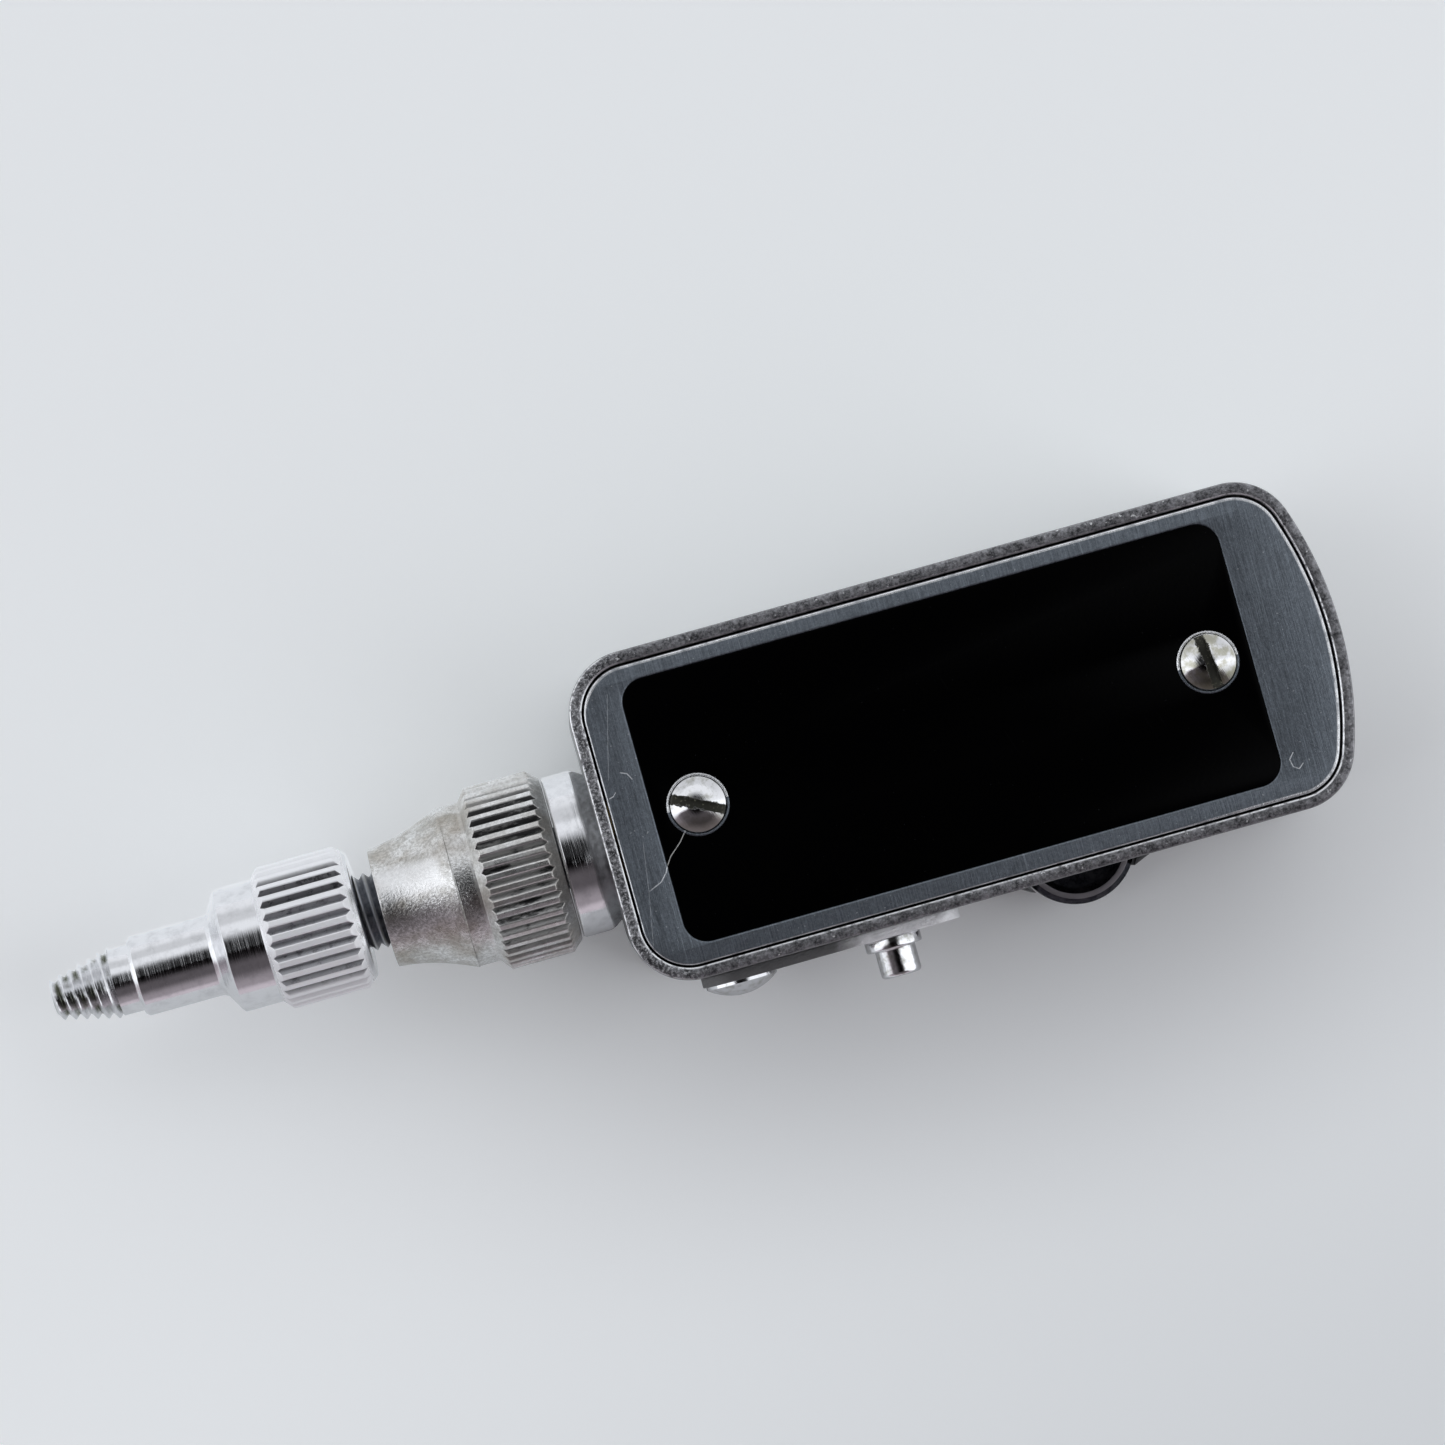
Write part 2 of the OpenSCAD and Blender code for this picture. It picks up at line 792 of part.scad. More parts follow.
module plunger_rod() color([0.8, 0.8, 0.82]) {
    turned([
        [x_thread_tip + rod_sunk, 0],
        [x_thread_tip + rod_sunk, rod_r - edge_break],
        [x_thread_tip + rod_sunk + edge_break, rod_r],
        [x_lug, rod_r],
        [x_lug, 0]
    ]);
}

// The lug carries the rod and the spring; the bar behind it carries the teeth
module rack() color([0.75, 0.62, 0.33]) {
    tooth_x0 = drive_x - teeth_spare;
    lug_y0 = rack_back - lug_side;
    difference() {
        union() {
            translate([x_lug, lug_y0, -lug_h / 2])
                cube([lug_t, spring_y + coil_r + lug_over - lug_y0, lug_h]);
            translate([x_lug, rack_back, -rack_t / 2])
                cube([x_rack_end - x_lug, rack_w, rack_t]);
            for (i = [0:floor((x_rack_end - tooth_x0) / rack_tooth)])
                let (x = drive_x + rack_tooth * (i - 0.5))
                    if (x + rack_tooth / 3 < x_rack_end)
                        translate([x, -rack_line, -rack_t / 2])
                            linear_extrude(rack_t)
                                rack_tooth_outline();
        }
        translate([0, spring_y, 0])
            rod_x(guide_r + run_gap, x_lug - over, x_lug + lug_t + over);
    }
}

// A rack tooth that points along -Y, its pitch line at y = 0
module rack_tooth_outline() {
    root = rack_module + 0.1;
    polygon([
        [-0.24 * rack_tooth, root],
        [-0.2 * rack_tooth, 0],
        [-0.1 * rack_tooth, -rack_addendum],
        [0.1 * rack_tooth, -rack_addendum],
        [0.2 * rack_tooth, 0],
        [0.24 * rack_tooth, root]
    ]);
}

// The wire is one tube of rings, joined side by side and closed at both ends
module drive_spring() color([0.7, 0.7, 0.72]) {
    x0 = x_spring + wire_r + face_gap;
    pitch = (x_post - x_spring - 2 * wire_r - 2 * face_gap) / spring_turns;
    steps = spring_turns * ring_steps;
    n = wire_sides;
    echo(drive_spring_least_gap_mm = pitch - 2 * wire_r);
    points = [for (i = [0:steps]) each coil_ring(i / ring_steps, x0, pitch)];
    sides = [
        for (i = [0:steps - 1])
            for (s = [0:n - 1])
                let (a = i * n + s, b = i * n + (s + 1) % n)
                    each [[a, b, a + n], [b, b + n, a + n]]
    ];
    first = [for (s = [1:n - 2]) [0, s + 1, s]];
    last = [for (s = [1:n - 2]) [steps * n, steps * n + s, steps * n + s + 1]];
    polyhedron(points, concat(sides, first, last));
}

module spring_guide() color([0.7, 0.7, 0.72]) {
    translate([0, spring_y, 0])
        rod_x(guide_r, x_stem_end + guide_room, x_post + post_t);
}

module spring_post() color([0.75, 0.62, 0.33]) {
    difference() {
        translate([x_post, spring_y - post_r, z_lower])
            cube([post_t, 2 * post_r, post_r - z_lower]);
        translate([0, spring_y, 0])
            rod_x(guide_r, x_post - over, x_post + post_t + over);
    }
}

module pivot_holes(z0, z1) {
    for (at = [drive_at, second_at, escape_at, anchor_at])
        post(at, pivot_end_r + run_gap, z0, z1);
}

module lower_plate() color([0.78, 0.66, 0.36]) {
    difference() {
        plate(z_floor, plate_t);
        pivot_holes(z_floor - over, z_lower + over);
        post(wheel_at, wheel_stud_r, z_floor - over, z_lower + over);
        for (at = pillar_at)
            post(at, pillar_screw_r, z_floor - over, z_lower + over);
    }
}

module upper_plate() color([0.78, 0.66, 0.36]) {
    difference() {
        union() {
            plate(z_upper, plate_t);
            for (x = cover_x)
                post([x, cover_y], boss_r, z_upper, z_face);
        }
        pivot_holes(z_upper - over, z_upper_top + over);
        for (x = cover_x)
            post([x, cover_y], cover_shank_r, z_upper - over, z_face + over);
        for (at = pillar_at)
            post(at, pillar_screw_r, z_upper - over, z_upper_top + over);
    }
}

module pillars() color([0.8, 0.7, 0.42]) {
    for (at = pillar_at) {
        post(at, pillar_r, z_lower, z_upper);
        post(at, pillar_screw_r, z_floor, z_lower);
    }
}

module plate_screws() color([0.4, 0.45, 0.6]) {
    for (at = pillar_at)
        difference() {
            union() {
                post(at, pillar_head_r, z_upper_top, z_upper_top + pillar_head_h);
                post(at, pillar_screw_r, z_upper, z_upper_top);
            }
            translate([at[0] - over, at[1] - slot_w / 4, z_upper_top + pillar_head_h / 2])
                cube([2 * over, slot_w / 2, pillar_head_h]);
        }
}

// A dished thumb rim over a gear, turned in one piece
module winding_wheel() color([0.2, 0.2, 0.2]) {
    lip_in = rim_r - rim_bevel - rim_lip;
    difference() {
        union() {
            gear(wheel_at, gear_teeth, rack_module, wheel_phase, z_gear, gear_t, wheel_stud_r);
            translate([wheel_at[0], wheel_at[1], z_rim_low])
                rotate_extrude()
                    polygon([
                        [0, 0],
                        [rim_r - rim_bevel, 0],
                        [rim_r, rim_bevel],
                        [rim_r, rim_t - rim_bevel],
                        [rim_r - rim_bevel, rim_t],
                        [lip_in, rim_t],
                        [lip_in - rim_bevel, rim_t - rim_dish],
                        [0, rim_t - rim_dish]
                    ]);
        }
        post(wheel_at, wheel_stud_r + run_gap, z_gear - over, z_rim_top + over);
    }
}

// A stud riveted in the lower plate, with a head that keeps the winding wheel on
module wheel_stud() color([0.7, 0.7, 0.7]) {
    z_head = z_rim_top - rim_dish + face_gap;
    post(wheel_at, wheel_stud_r, z_floor, z_head);
    post(wheel_at, stud_head_r, z_head, z_head + stud_head_t);
}

module drive_arbor() color([0.7, 0.7, 0.72]) {
    arbor(drive_at, arbor_r);
}

module winding_gear() color([0.78, 0.66, 0.36]) {
    gear(drive_at, gear_teeth, rack_module, gear_phase, z_gear, gear_t, arbor_r);
}

module rack_pinion() color([0.7, 0.7, 0.72]) {
    height = rack_t + 2 * pinion_over;
    gear(drive_at, pinion_teeth, rack_module, rack_pinion_phase, -height / 2, height, arbor_r);
}

module ratchet_wheel() color([0.7, 0.7, 0.72]) {
    translate([drive_at[0], drive_at[1], z_click])
        difference() {
            linear_extrude(click_t)
                polygon([
                    for (i = [0:ratchet_teeth - 1])
                        let (a = i * 360 / ratchet_teeth)
                            each [polar(ratchet_r, a), polar(ratchet_root_r, a)]
                ]);
            translate([0, 0, -over])
                cylinder(r = arbor_r, h = click_t + 2 * over);
        }
}

module drive_wheel() color([0.8, 0.7, 0.42]) {
    difference() {
        gear(drive_at, drive_teeth, drive_module, drive_phase, z_drive, wheel_t, arbor_r + run_gap);
        post(click_at, click_pin_r, z_drive - over, z_drive_top + over);
        for (a = [120, 240])
            post(drive_at + polar(ratchet_r + light_hole_r, click_dir + a), light_hole_r,
                z_drive - over, z_drive_top + over);
    }
}

// The click stands ahead of a steep ratchet face and turns on its screw
module click() color([0.4, 0.45, 0.6]) {
    difference() {
        union() {
            translate([drive_at[0], drive_at[1], z_click])
                linear_extrude(click_t)
                    polygon([
                        polar(ratchet_root_r + click_nose_gap, click_dir),
                        polar(ratchet_r + click_head_r, click_dir - 2),
                        polar(click_reach + 0.2, click_dir + 42),
                        polar(click_reach - 0.3, click_dir + 46)
                    ]);
            post(click_at, click_boss_r, z_click, z_click + click_t);
        }
        post(click_at, click_pin_r + run_gap, z_click - over, z_click + click_t + over);
    }
}

module click_screw() color([0.4, 0.45, 0.6]) {
    z_head = z_click + click_t + face_gap;
    post(click_at, click_pin_r, z_drive, z_head);
    post(click_at, click_head_r, z_head, z_head + click_head_t);
}

// A leaf that bears on the back of the click from a foot on the drive wheel
module click_spring() color([0.4, 0.45, 0.6]) {
    foot = polar(click_reach + 0.25, click_dir - 48);
    bear = polar(ratchet_r + click_head_r + leaf_gap, click_dir - 1);
    translate([drive_at[0], drive_at[1], z_drive_top])
        linear_extrude(click_t) {
            translate(foot)
                circle(r = leaf_foot_r);
            polygon([foot, bear, bear + [leaf_t, 0], foot + [leaf_t, 0]]);
        }
}

// The pinions are cut in the arbors
module second_arbor() color([0.7, 0.7, 0.72]) {
    z0 = z_drive - pinion_over;
    arbor(second_at, arbor_r);
    gear(second_at, pinion_teeth, drive_module, second_phase, z0, wheel_t + pinion_over, pivot_end_r);
}

module second_wheel() color([0.8, 0.7, 0.42]) {
    rim_in = second_r - 3 * second_module;
    difference() {
        gear(second_at, second_teeth, second_module, second_wheel_phase, z_second, wheel_t, arbor_r);
        spoke_gaps(second_at, rim_in, 3 * arbor_r, 4, z_second, wheel_t);
    }
}

module escape_arbor() color([0.7, 0.7, 0.72]) {
    z0 = z_second - pinion_over;
    arbor(escape_at, arbor_r);
    gear(escape_at, pinion_teeth, second_module, escape_phase, z0, wheel_t + 2 * pinion_over, pivot_end_r);
}

module escape_wheel() color([0.8, 0.7, 0.42]) {
    root_r = escape_r - escape_tooth;
    pitch = 360 / escape_teeth;
    difference() {
        translate([escape_at[0], escape_at[1], z_escape])
            linear_extrude(escape_t)
                polygon([
                    for (i = [0:escape_teeth - 1])
                        for (p = [[-0.3, root_r], [-0.03, escape_r], [0.03, escape_r], [0.3, root_r]])
                            polar(p[1], escape_wheel_phase + (i + p[0]) * pitch)
                ]);
        post(escape_at, arbor_r, z_escape - over, z_escape + over);
        spoke_gaps(escape_at, root_r - escape_rim, 2.4 * arbor_r, 3, z_escape, escape_t);
    }
}

// Two arms that reach round the escape wheel, each with a pallet that points at its centre
module anchor() color([0.55, 0.57, 0.62]) {
    difference() {
        union() {
            post(anchor_at, hub_r, z_escape, z_escape + escape_t);
            translate([0, 0, z_escape])
                linear_extrude(escape_t)
                    for (side = [-1, 1])
                        anchor_side(side);
        }
        post(anchor_at, anchor_arbor_r, z_escape - over, z_escape + over);
    }
}

// One pallet and the arm that carries it
module anchor_side(side) {
    spoke = 180 - side * pallet_span / 2;
    face = escape_at + polar(pallet_r, spoke);
    heel = escape_at + polar(pallet_r + pallet_len, spoke);
    across = polar(pallet_w, spoke + 90);
    outward = side * across;
    polygon([face + across / 2, face - across / 2, heel - across, heel + across]);
    polygon([
        anchor_at - [0.6 * hub_r, 0],
        anchor_at + [0.4 * hub_r, side * 0.53 * hub_r],
        heel + outward - polar(pallet_len / 2, spoke),
        heel - outward + polar(pallet_len / 5, spoke)
    ]);
}

module anchor_arbor() color([0.7, 0.7, 0.72]) {
    arbor(anchor_at, anchor_arbor_r);
}

// A bar with a weight at each end that slows the anchor
module inertia_bar() color([0.78, 0.66, 0.36]) {
    difference() {
        union() {
            translate([anchor_at[0] - bar_w / 2, anchor_at[1] - bar_reach, z_bar])
                cube([bar_w, 2 * bar_reach, bar_t]);
            for (side = [-1, 1])
                post(anchor_at + [0, side * bar_reach], bar_weight_r, z_bar, z_bar + bar_t);
            post(anchor_at, hub_r, z_bar, z_bar + bar_t);
        }
        post(anchor_at, anchor_arbor_r, z_bar - over, z_bar + over);
    }
}

module start_lever() color([0.72, 0.72, 0.72]) {
    difference() {
        translate([0, y_lever, 0])
            rotate([90, 0, 0])
                linear_extrude(lever_t)
                    lever_outline();
        translate([x_lever, 0, lever_up])
            rod_y(pivot_r, y_lever - lever_t - over, y_lever + over);
        translate([x_lever + stud_at, 0, lever_up])
            rod_y(stud_r / 2, y_lever - lever_t - over, y_lever + over);
    }
}

// Seen from the side: a round end at the pivot that narrows to the outer end
module lever_outline() {
    x_end = x_lever + lever_len - lever_end_r;
    translate([x_lever, lever_up])
        circle(r = lever_r);
    translate([x_end, lever_up])
        circle(r = lever_end_r);
    polygon([
        [x_lever, lever_up - lever_r],
        [x_end, lever_up - lever_end_r],
        [x_end, lever_up + lever_end_r],
        [x_lever, lever_up + lever_r]
    ]);
}

module lever_stud() color([0.85, 0.85, 0.85]) {
    y_face = y_lever - lever_t;
    translate([x_lever + stud_at, 0, lever_up]) {
        rod_y(stud_r / 2, y_face, y_lever);
        rod_y(stud_flange_r, y_face - stud_flange_t, y_face);
        rod_y(stud_r, y_face - stud_flange_t - stud_len, y_face - stud_flange_t);
    }
}

module lever_screw() color([0.75, 0.75, 0.75]) {
    y_face = y_lever - lever_t;
    y_slot = y_face - pivot_head_h + slot_depth - over;
    difference() {
        translate([x_lever, y_face, lever_up])
            rotate([90, 0, 0])
                dome(pivot_head_r, pivot_head_h);
        translate([x_lever - 2 * pivot_head_r, y_slot, lever_up - slot_w / 2])
            cube([4 * pivot_head_r, over, slot_w]);
    }
    translate([x_lever, 0, lever_up])
        rod_y(pivot_r, y_face, y_brake + brake_t);
}

module lever_washer() color([0.3, 0.3, 0.33]) {
    translate([x_lever, 0, lever_up])
        difference() {
            rod_y(washer_r, y_low_in, y_brake);
            rod_y(pivot_r + run_gap, y_low_in - over, y_brake + over);
        }
}

// The arm lies along the wall and reaches across to a pad over the rack
module brake_arm() color([0.55, 0.57, 0.62]) {
    x_pad = x_lever + brake_reach;
    pad_y = rack_back + rack_w;
    difference() {
        union() {
            translate([x_lever, 0, lever_up])
                rod_y(brake_hub_r, y_brake, y_brake + brake_t);
            translate([x_lever, y_brake, z_brake])
                cube([brake_reach + brake_w / 2, brake_t, brake_w]);
            translate([x_pad - brake_w / 2, y_brake, z_brake])
                cube([brake_w, pad_y - y_brake, brake_t]);
        }
        translate([x_lever, 0, lever_up])
            rod_y(pivot_r, y_brake - over, y_brake + brake_t + over);
    }
}

case_shell();
face_plate();
panel_enamel();
cover_screws();
base_bush();
base_nut();
swivel_collar();
threaded_stem();
stem_ring();
guide_sleeve();
release_tip();
plunger_rod();
rack();
drive_spring();
spring_guide();
spring_post();
lower_plate();
upper_plate();
pillars();
plate_screws();
winding_wheel();
wheel_stud();
drive_arbor();
winding_gear();
rack_pinion();
ratchet_wheel();
drive_wheel();
click();
click_screw();
click_spring();
second_arbor();
second_wheel();
escape_arbor();
escape_wheel();
anchor();
anchor_arbor();
inertia_bar();
start_lever();
lever_stud();
lever_screw();
lever_washer();
brake_arm();
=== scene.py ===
import json
import math

import bmesh
import bpy
from mathutils import Matrix, Vector


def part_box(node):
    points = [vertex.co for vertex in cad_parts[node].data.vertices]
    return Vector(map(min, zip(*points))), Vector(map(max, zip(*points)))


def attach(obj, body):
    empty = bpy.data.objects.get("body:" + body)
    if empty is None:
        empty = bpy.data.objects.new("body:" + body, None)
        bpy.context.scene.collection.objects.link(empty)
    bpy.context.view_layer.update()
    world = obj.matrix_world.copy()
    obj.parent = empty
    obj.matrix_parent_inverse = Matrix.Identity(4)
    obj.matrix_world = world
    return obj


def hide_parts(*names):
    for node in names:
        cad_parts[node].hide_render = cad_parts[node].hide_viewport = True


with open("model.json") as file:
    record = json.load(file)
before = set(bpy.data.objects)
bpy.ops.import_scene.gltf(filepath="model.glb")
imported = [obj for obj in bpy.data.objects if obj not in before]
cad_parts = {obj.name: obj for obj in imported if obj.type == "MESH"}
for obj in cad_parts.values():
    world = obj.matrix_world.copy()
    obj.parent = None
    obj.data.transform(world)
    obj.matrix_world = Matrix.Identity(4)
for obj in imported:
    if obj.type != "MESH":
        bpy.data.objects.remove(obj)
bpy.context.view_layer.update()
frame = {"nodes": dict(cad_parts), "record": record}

MM = 0.001
TURN = 2 * math.pi

# Stations along the nose axis
X_THREAD_TIP = -3.0
X_BARREL = 1.0
X_STEP = 4.8
X_GRIP = 7.35
X_GRIP_END = 12.0
X_CONE = 13.0
X_BAND = 16.65
X_COLLAR = 17.7
X_SHOULDER = 21.25
X_COLLAR_END = 21.7
X_BUSH = 21.75
X_CASE = 23.75
X_CASE_END = 59.35
X_RING = X_CASE + 2.05
STEM_START = 7.0
STEM_END = 13.4
TIP_BORE_START = 5.4

# Radii of the nose
THREAD_R = 1.75
THREAD_TIP_R = 1.0
THREAD_PITCH = 0.5
THREAD_DEPTH = 0.28
NECK_R = 1.62
BARREL_R = 1.94
STEP_R = 2.98
GRIP_R = 3.44
STEM_R = 1.86
STEM_DEPTH = 0.27
JOURNAL_R = 1.5
ROD_R = 0.55
ROD_BORE_R = 0.62
STEM_BORE_R = 1.05
STEM_END_BORE_R = 0.75
SLEEVE_BORE_R = 1.2
TIP_BORE_R = 1.91
CONE_R = 2.88
BAND_R = 3.92
COLLAR_R = 4.43
BUSH_R = 3.9
KNURL_DEPTH = 0.22
KNURL_SIDE = 0.3
COLLAR_KNURL_SIDE = 0.29
GRIP_GROOVES = 32
COLLAR_GROOVES = 44
GRIP_LANDS = (X_GRIP + 0.42, X_GRIP_END - 0.6)
COLLAR_LANDS = (X_COLLAR + 0.42, X_COLLAR_END - 0.58)
GRIP_SLOPES = (1.1, 0.82)
COLLAR_SLOPES = (1.33, 0.91)

# The case
CASE_MID = 0.7
CASE_W = 15.6
Y_LOW = CASE_MID - CASE_W / 2
WALL = 0.6
CORNER_R = 2.9
BOW_R = 18.0
BOW_X = X_CASE_END - BOW_R
SIDE = CASE_W / 2 - CORNER_R
CORNER_X = BOW_X + math.sqrt((BOW_R - CORNER_R) ** 2 - SIDE ** 2)
BOW_ANGLE = math.atan2(SIDE, CORNER_X - BOW_X)
BACK_EDGE_R = 0.9
Z_BACK = -6.0
Z_RIM = 6.0
Z_FLOOR = -5.4
Z_FACE = 5.15
Z_FACE_TOP = 5.95
FACE_INSET = 0.68
ENAMEL_T = 0.1
PANEL_LOW = (26.35, -5.5)
PANEL_HIGH = (54.95, 7.0)
PANEL_CORNER_R = 1.1
COVER_AT = ((28.45, 0.7), (52.95, 0.7))
COVER_TURN = (-26, -83)
COVER_R = 1.28
COVER_H = 0.55
COVER_RING = 0.2
COVER_SHANK_R = 0.6
COVER_SHANK_LEN = 2.15

# Slots and skirts of the domed heads
SLOT_W = 0.42
SLOT_DEPTH = 0.35
HEAD_EDGE = 0.15

# The start lever and the winding wheel
PIVOT = (28.35, -7.2, 1.0)
PIVOT_HEAD_R = 1.7
PIVOT_HEAD_H = 0.75
PIVOT_SHANK_R = 0.7
LEVER_T = 0.5
LEVER_R = 1.85
LEVER_END_R = 1.2
LEVER_LEN = 10.7
STUD_X = 35.7
STUD_R = 0.97
STUD_LEN = 1.35
FLANGE_R = 1.35
FLANGE_T = 0.55
RIVET_R = 0.48
WHEEL_AT = (45.55, -5.95)
WHEEL_BORE_R = 0.55
WHEEL_TEETH = 12
WHEEL_MODULE = 0.4
RIM_R = 2.88
RIM_GAP = 0.2
LIP_GAP = 0.12
LIP_OUT = 0.6
LIP_T = 0.35
SLOT_LOW = -4.65
SLOT_HIGH = -2.25
GEAR_LOW = -4.45
RIM_LOW = -3.45
RIM_TOP = -2.45

# The camera, aimed down at the face, and the turn of the light, in degrees
CAMERA_STAND = (22.0, 0.0, 240.0)
CAMERA_AIM = (30.77, 4.13, 0.0)
CAMERA_ROLL = 15.6
CAMERA_LENS = 126.6
LIGHT_TURN = 15.8


# ---- numbers in node trees

def arithmetic(operation, swapped=False):
    """A method of Number that adds a Math node."""
    def method(self, other):
        return calc(self.tree, operation, *((other, self) if swapped else (self, other)))
    return method


class Number:
    """A number in a node tree. Arithmetic on it adds the Math nodes."""

    __add__ = arithmetic("ADD")
    __radd__ = arithmetic("ADD", swapped=True)
    __sub__ = arithmetic("SUBTRACT")
    __rsub__ = arithmetic("SUBTRACT", swapped=True)
    __mul__ = arithmetic("MULTIPLY")
    __rmul__ = arithmetic("MULTIPLY", swapped=True)
    __truediv__ = arithmetic("DIVIDE")

    def __init__(self, tree, socket):
        self.tree = tree
        self.socket = socket

    def do(self, operation, *others):
        return calc(self.tree, operation, self, *others)

    def step(self, low, high):
        """Goes smoothly from 0 at low to 1 at high."""
        node = self.tree.nodes.new("ShaderNodeMapRange")
        node.interpolation_type = "SMOOTHSTEP"
        for socket, value in zip(node.inputs, (self, low, high)):
            plug(self.tree, socket, value)
        return Number(self.tree, node.outputs[0])

    def near(self, middle, half, soft):
        """1 within half of the middle, 0 beyond half + soft."""
        return (self - middle).do("ABSOLUTE").step(half + soft, half)


def plug(tree, socket, value):
    """Links a node's output to a socket, or sets the socket's own value."""
    if isinstance(value, Number):
        tree.links.new(value.socket, socket)
    elif isinstance(value, bpy.types.NodeSocket):
        tree.links.new(value, socket)
    else:
        socket.default_value = value


def new_node(tree, kind, **inputs):
    """Adds a node, and sets or links its named inputs."""
    node = tree.nodes.new(kind)
    for name, value in inputs.items():
        plug(tree, node.inputs[name.replace("_", " ")], value)
    return node


def calc(tree, operation, *values):
    node = tree.nodes.new("ShaderNodeMath")
    node.operation = operation
    for socket, value in zip(node.inputs, values):
        plug(tree, socket, value)
    return Number(tree, node.outputs[0])


def hypot(a, b):
    return (a * a + b * b).do("SQRT")


def highest(first, *others):
    """The largest of several numbers."""
    for other in others:
        first = first.do("MAXIMUM", other)
    return first


def split(tree, vector):
    return [Number(tree, out) for out in new_node(tree, "ShaderNodeSeparateXYZ", Vector=vector).outputs]


def joined(tree, x, y, z):
    return new_node(tree, "ShaderNodeCombineXYZ", X=x, Y=y, Z=z).outputs[0]


def mixed(tree, a, b, factor):
    """A colour between a and b."""
    node = tree.nodes.new("ShaderNodeMix")
    node.data_type = "RGBA"
    plug(tree, node.inputs[0], factor)
    for socket, value in ((node.inputs[6], a), (node.inputs[7], b)):
        plug(tree, socket, (*value, 1.0) if isinstance(value, tuple) else value)
    return node.outputs[2]


# ---- meshes

def placed(name, data):
    """An object at the origin that shows a mesh, a curve or a camera."""
    made = bpy.data.objects.new(name, data)
    bpy.context.scene.collection.objects.link(made)
    return made


def new_object(name, vertices, faces):
    """An object from vertices in millimetres."""
    mesh = bpy.data.meshes.new(name)
    mesh.from_pydata([Vector(v) * MM for v in vertices], (), faces)
    mesh.update()
    return placed(name, mesh)


def tidy(made, angle=32, weld=0.0004):
    """Welds the seams, turns the faces outwards and keeps the edges sharper than angle."""
    work = bmesh.new()
    work.from_mesh(made.data)
    bmesh.ops.remove_doubles(work, verts=work.verts, dist=weld * MM)
    bmesh.ops.dissolve_degenerate(work, edges=work.edges, dist=weld * MM)
    bmesh.ops.recalc_face_normals(work, faces=work.faces)
    work.to_mesh(made.data)
    work.free()
    made.data.shade_smooth()
    made.data.set_sharp_from_angle(angle=math.radians(angle))
    return made


def evaluated(made):
    """A plain mesh of what an object shows."""
    graph = bpy.context.evaluated_depsgraph_get()
    return bpy.data.meshes.new_from_object(made.evaluated_get(graph))


def applied(made):
    """Turns the modifiers' result into the object's plain mesh."""
    mesh = evaluated(made)
    made.modifiers.clear()
    made.data = mesh
    return made


def merged(name, *parts):
    """One object from several, whose own objects are removed."""
    work = bmesh.new()
    for part in parts:
        work.from_mesh(part.data)
        bpy.data.objects.remove(part)
    mesh = bpy.data.meshes.new(name)
    work.to_mesh(mesh)
    work.free()
    return placed(name, mesh)


def moved(made, matrix):
    made.data.transform(matrix)
    return made


def on_plane(origin, across, up):
    """Takes x, y, z of a drawing to a plane through origin, in millimetres."""
    across = Vector(across)
    up = Vector(up)
    out = across.cross(up)
    matrix = Matrix((across, up, out)).transposed().to_4x4()
    matrix.translation = Vector(origin) * MM
    return matrix


def rounded(points, steps=4):
    """Replaces each point (a, b, radius) by an arc that rounds the corner."""
    made = []
    count = len(points)
    for i, (a, b, radius) in enumerate(points):
        here = Vector((a, b))
        if radius == 0:
            made.append(here)
            continue
        back = (Vector(points[i - 1][:2]) - here).normalized()
        ahead = (Vector(points[(i + 1) % count][:2]) - here).normalized()
        half = back.angle(ahead) / 2
        reach = radius / math.tan(half)
        middle = here + (back + ahead).normalized() * (radius / math.sin(half))
        start = here + back * reach - middle
        end = here + ahead * reach - middle
        for k in range(steps + 1):
            made.append(middle + start.slerp(end, k / steps).normalized() * radius)
    return made


def divided(profile, spans):
    """Adds even points between the profile's points that a span holds: (low, high, step)."""
    made = []
    for a, b in zip(profile, profile[1:] + profile[:1]):
        made.append(a)
        middle = (a + b) / 2
        for low, high, inner, step in spans:
            if low <= middle.x <= high and middle.y >= inner:
                count = int((b - a).length / step)
                made += [a.lerp(b, k / (count + 1)) for k in range(1, count + 1)]
    return made


def skinned(name, loops, ends=True):
    """Closed loops of points joined by quads. The ends are filled, or meet each other."""
    count = len(loops[0])
    vertices = [point for loop in loops for point in loop]
    faces = []
    for k in range(len(loops) - ends):
        here = k * count
        ahead = (k + 1) % len(loops) * count
        for i in range(count):
            after = (i + 1) % count
            faces.append((here + i, here + after, ahead + after, ahead + i))
    if ends:
        faces.append(tuple(reversed(range(count))))
        faces.append(tuple(range(len(vertices) - count, len(vertices))))
    return new_object(name, vertices, faces)


def turned(name, profile, columns):
    """A closed profile of (x, radius) revolved about X."""
    loops = []
    for j in range(columns):
        angle = TURN * j / columns
        y, z = math.cos(angle), math.sin(angle)
        loops.append([(x, max(radius, 0) * y, max(radius, 0) * z) for x, radius in profile])
    return skinned(name, loops, ends=False)


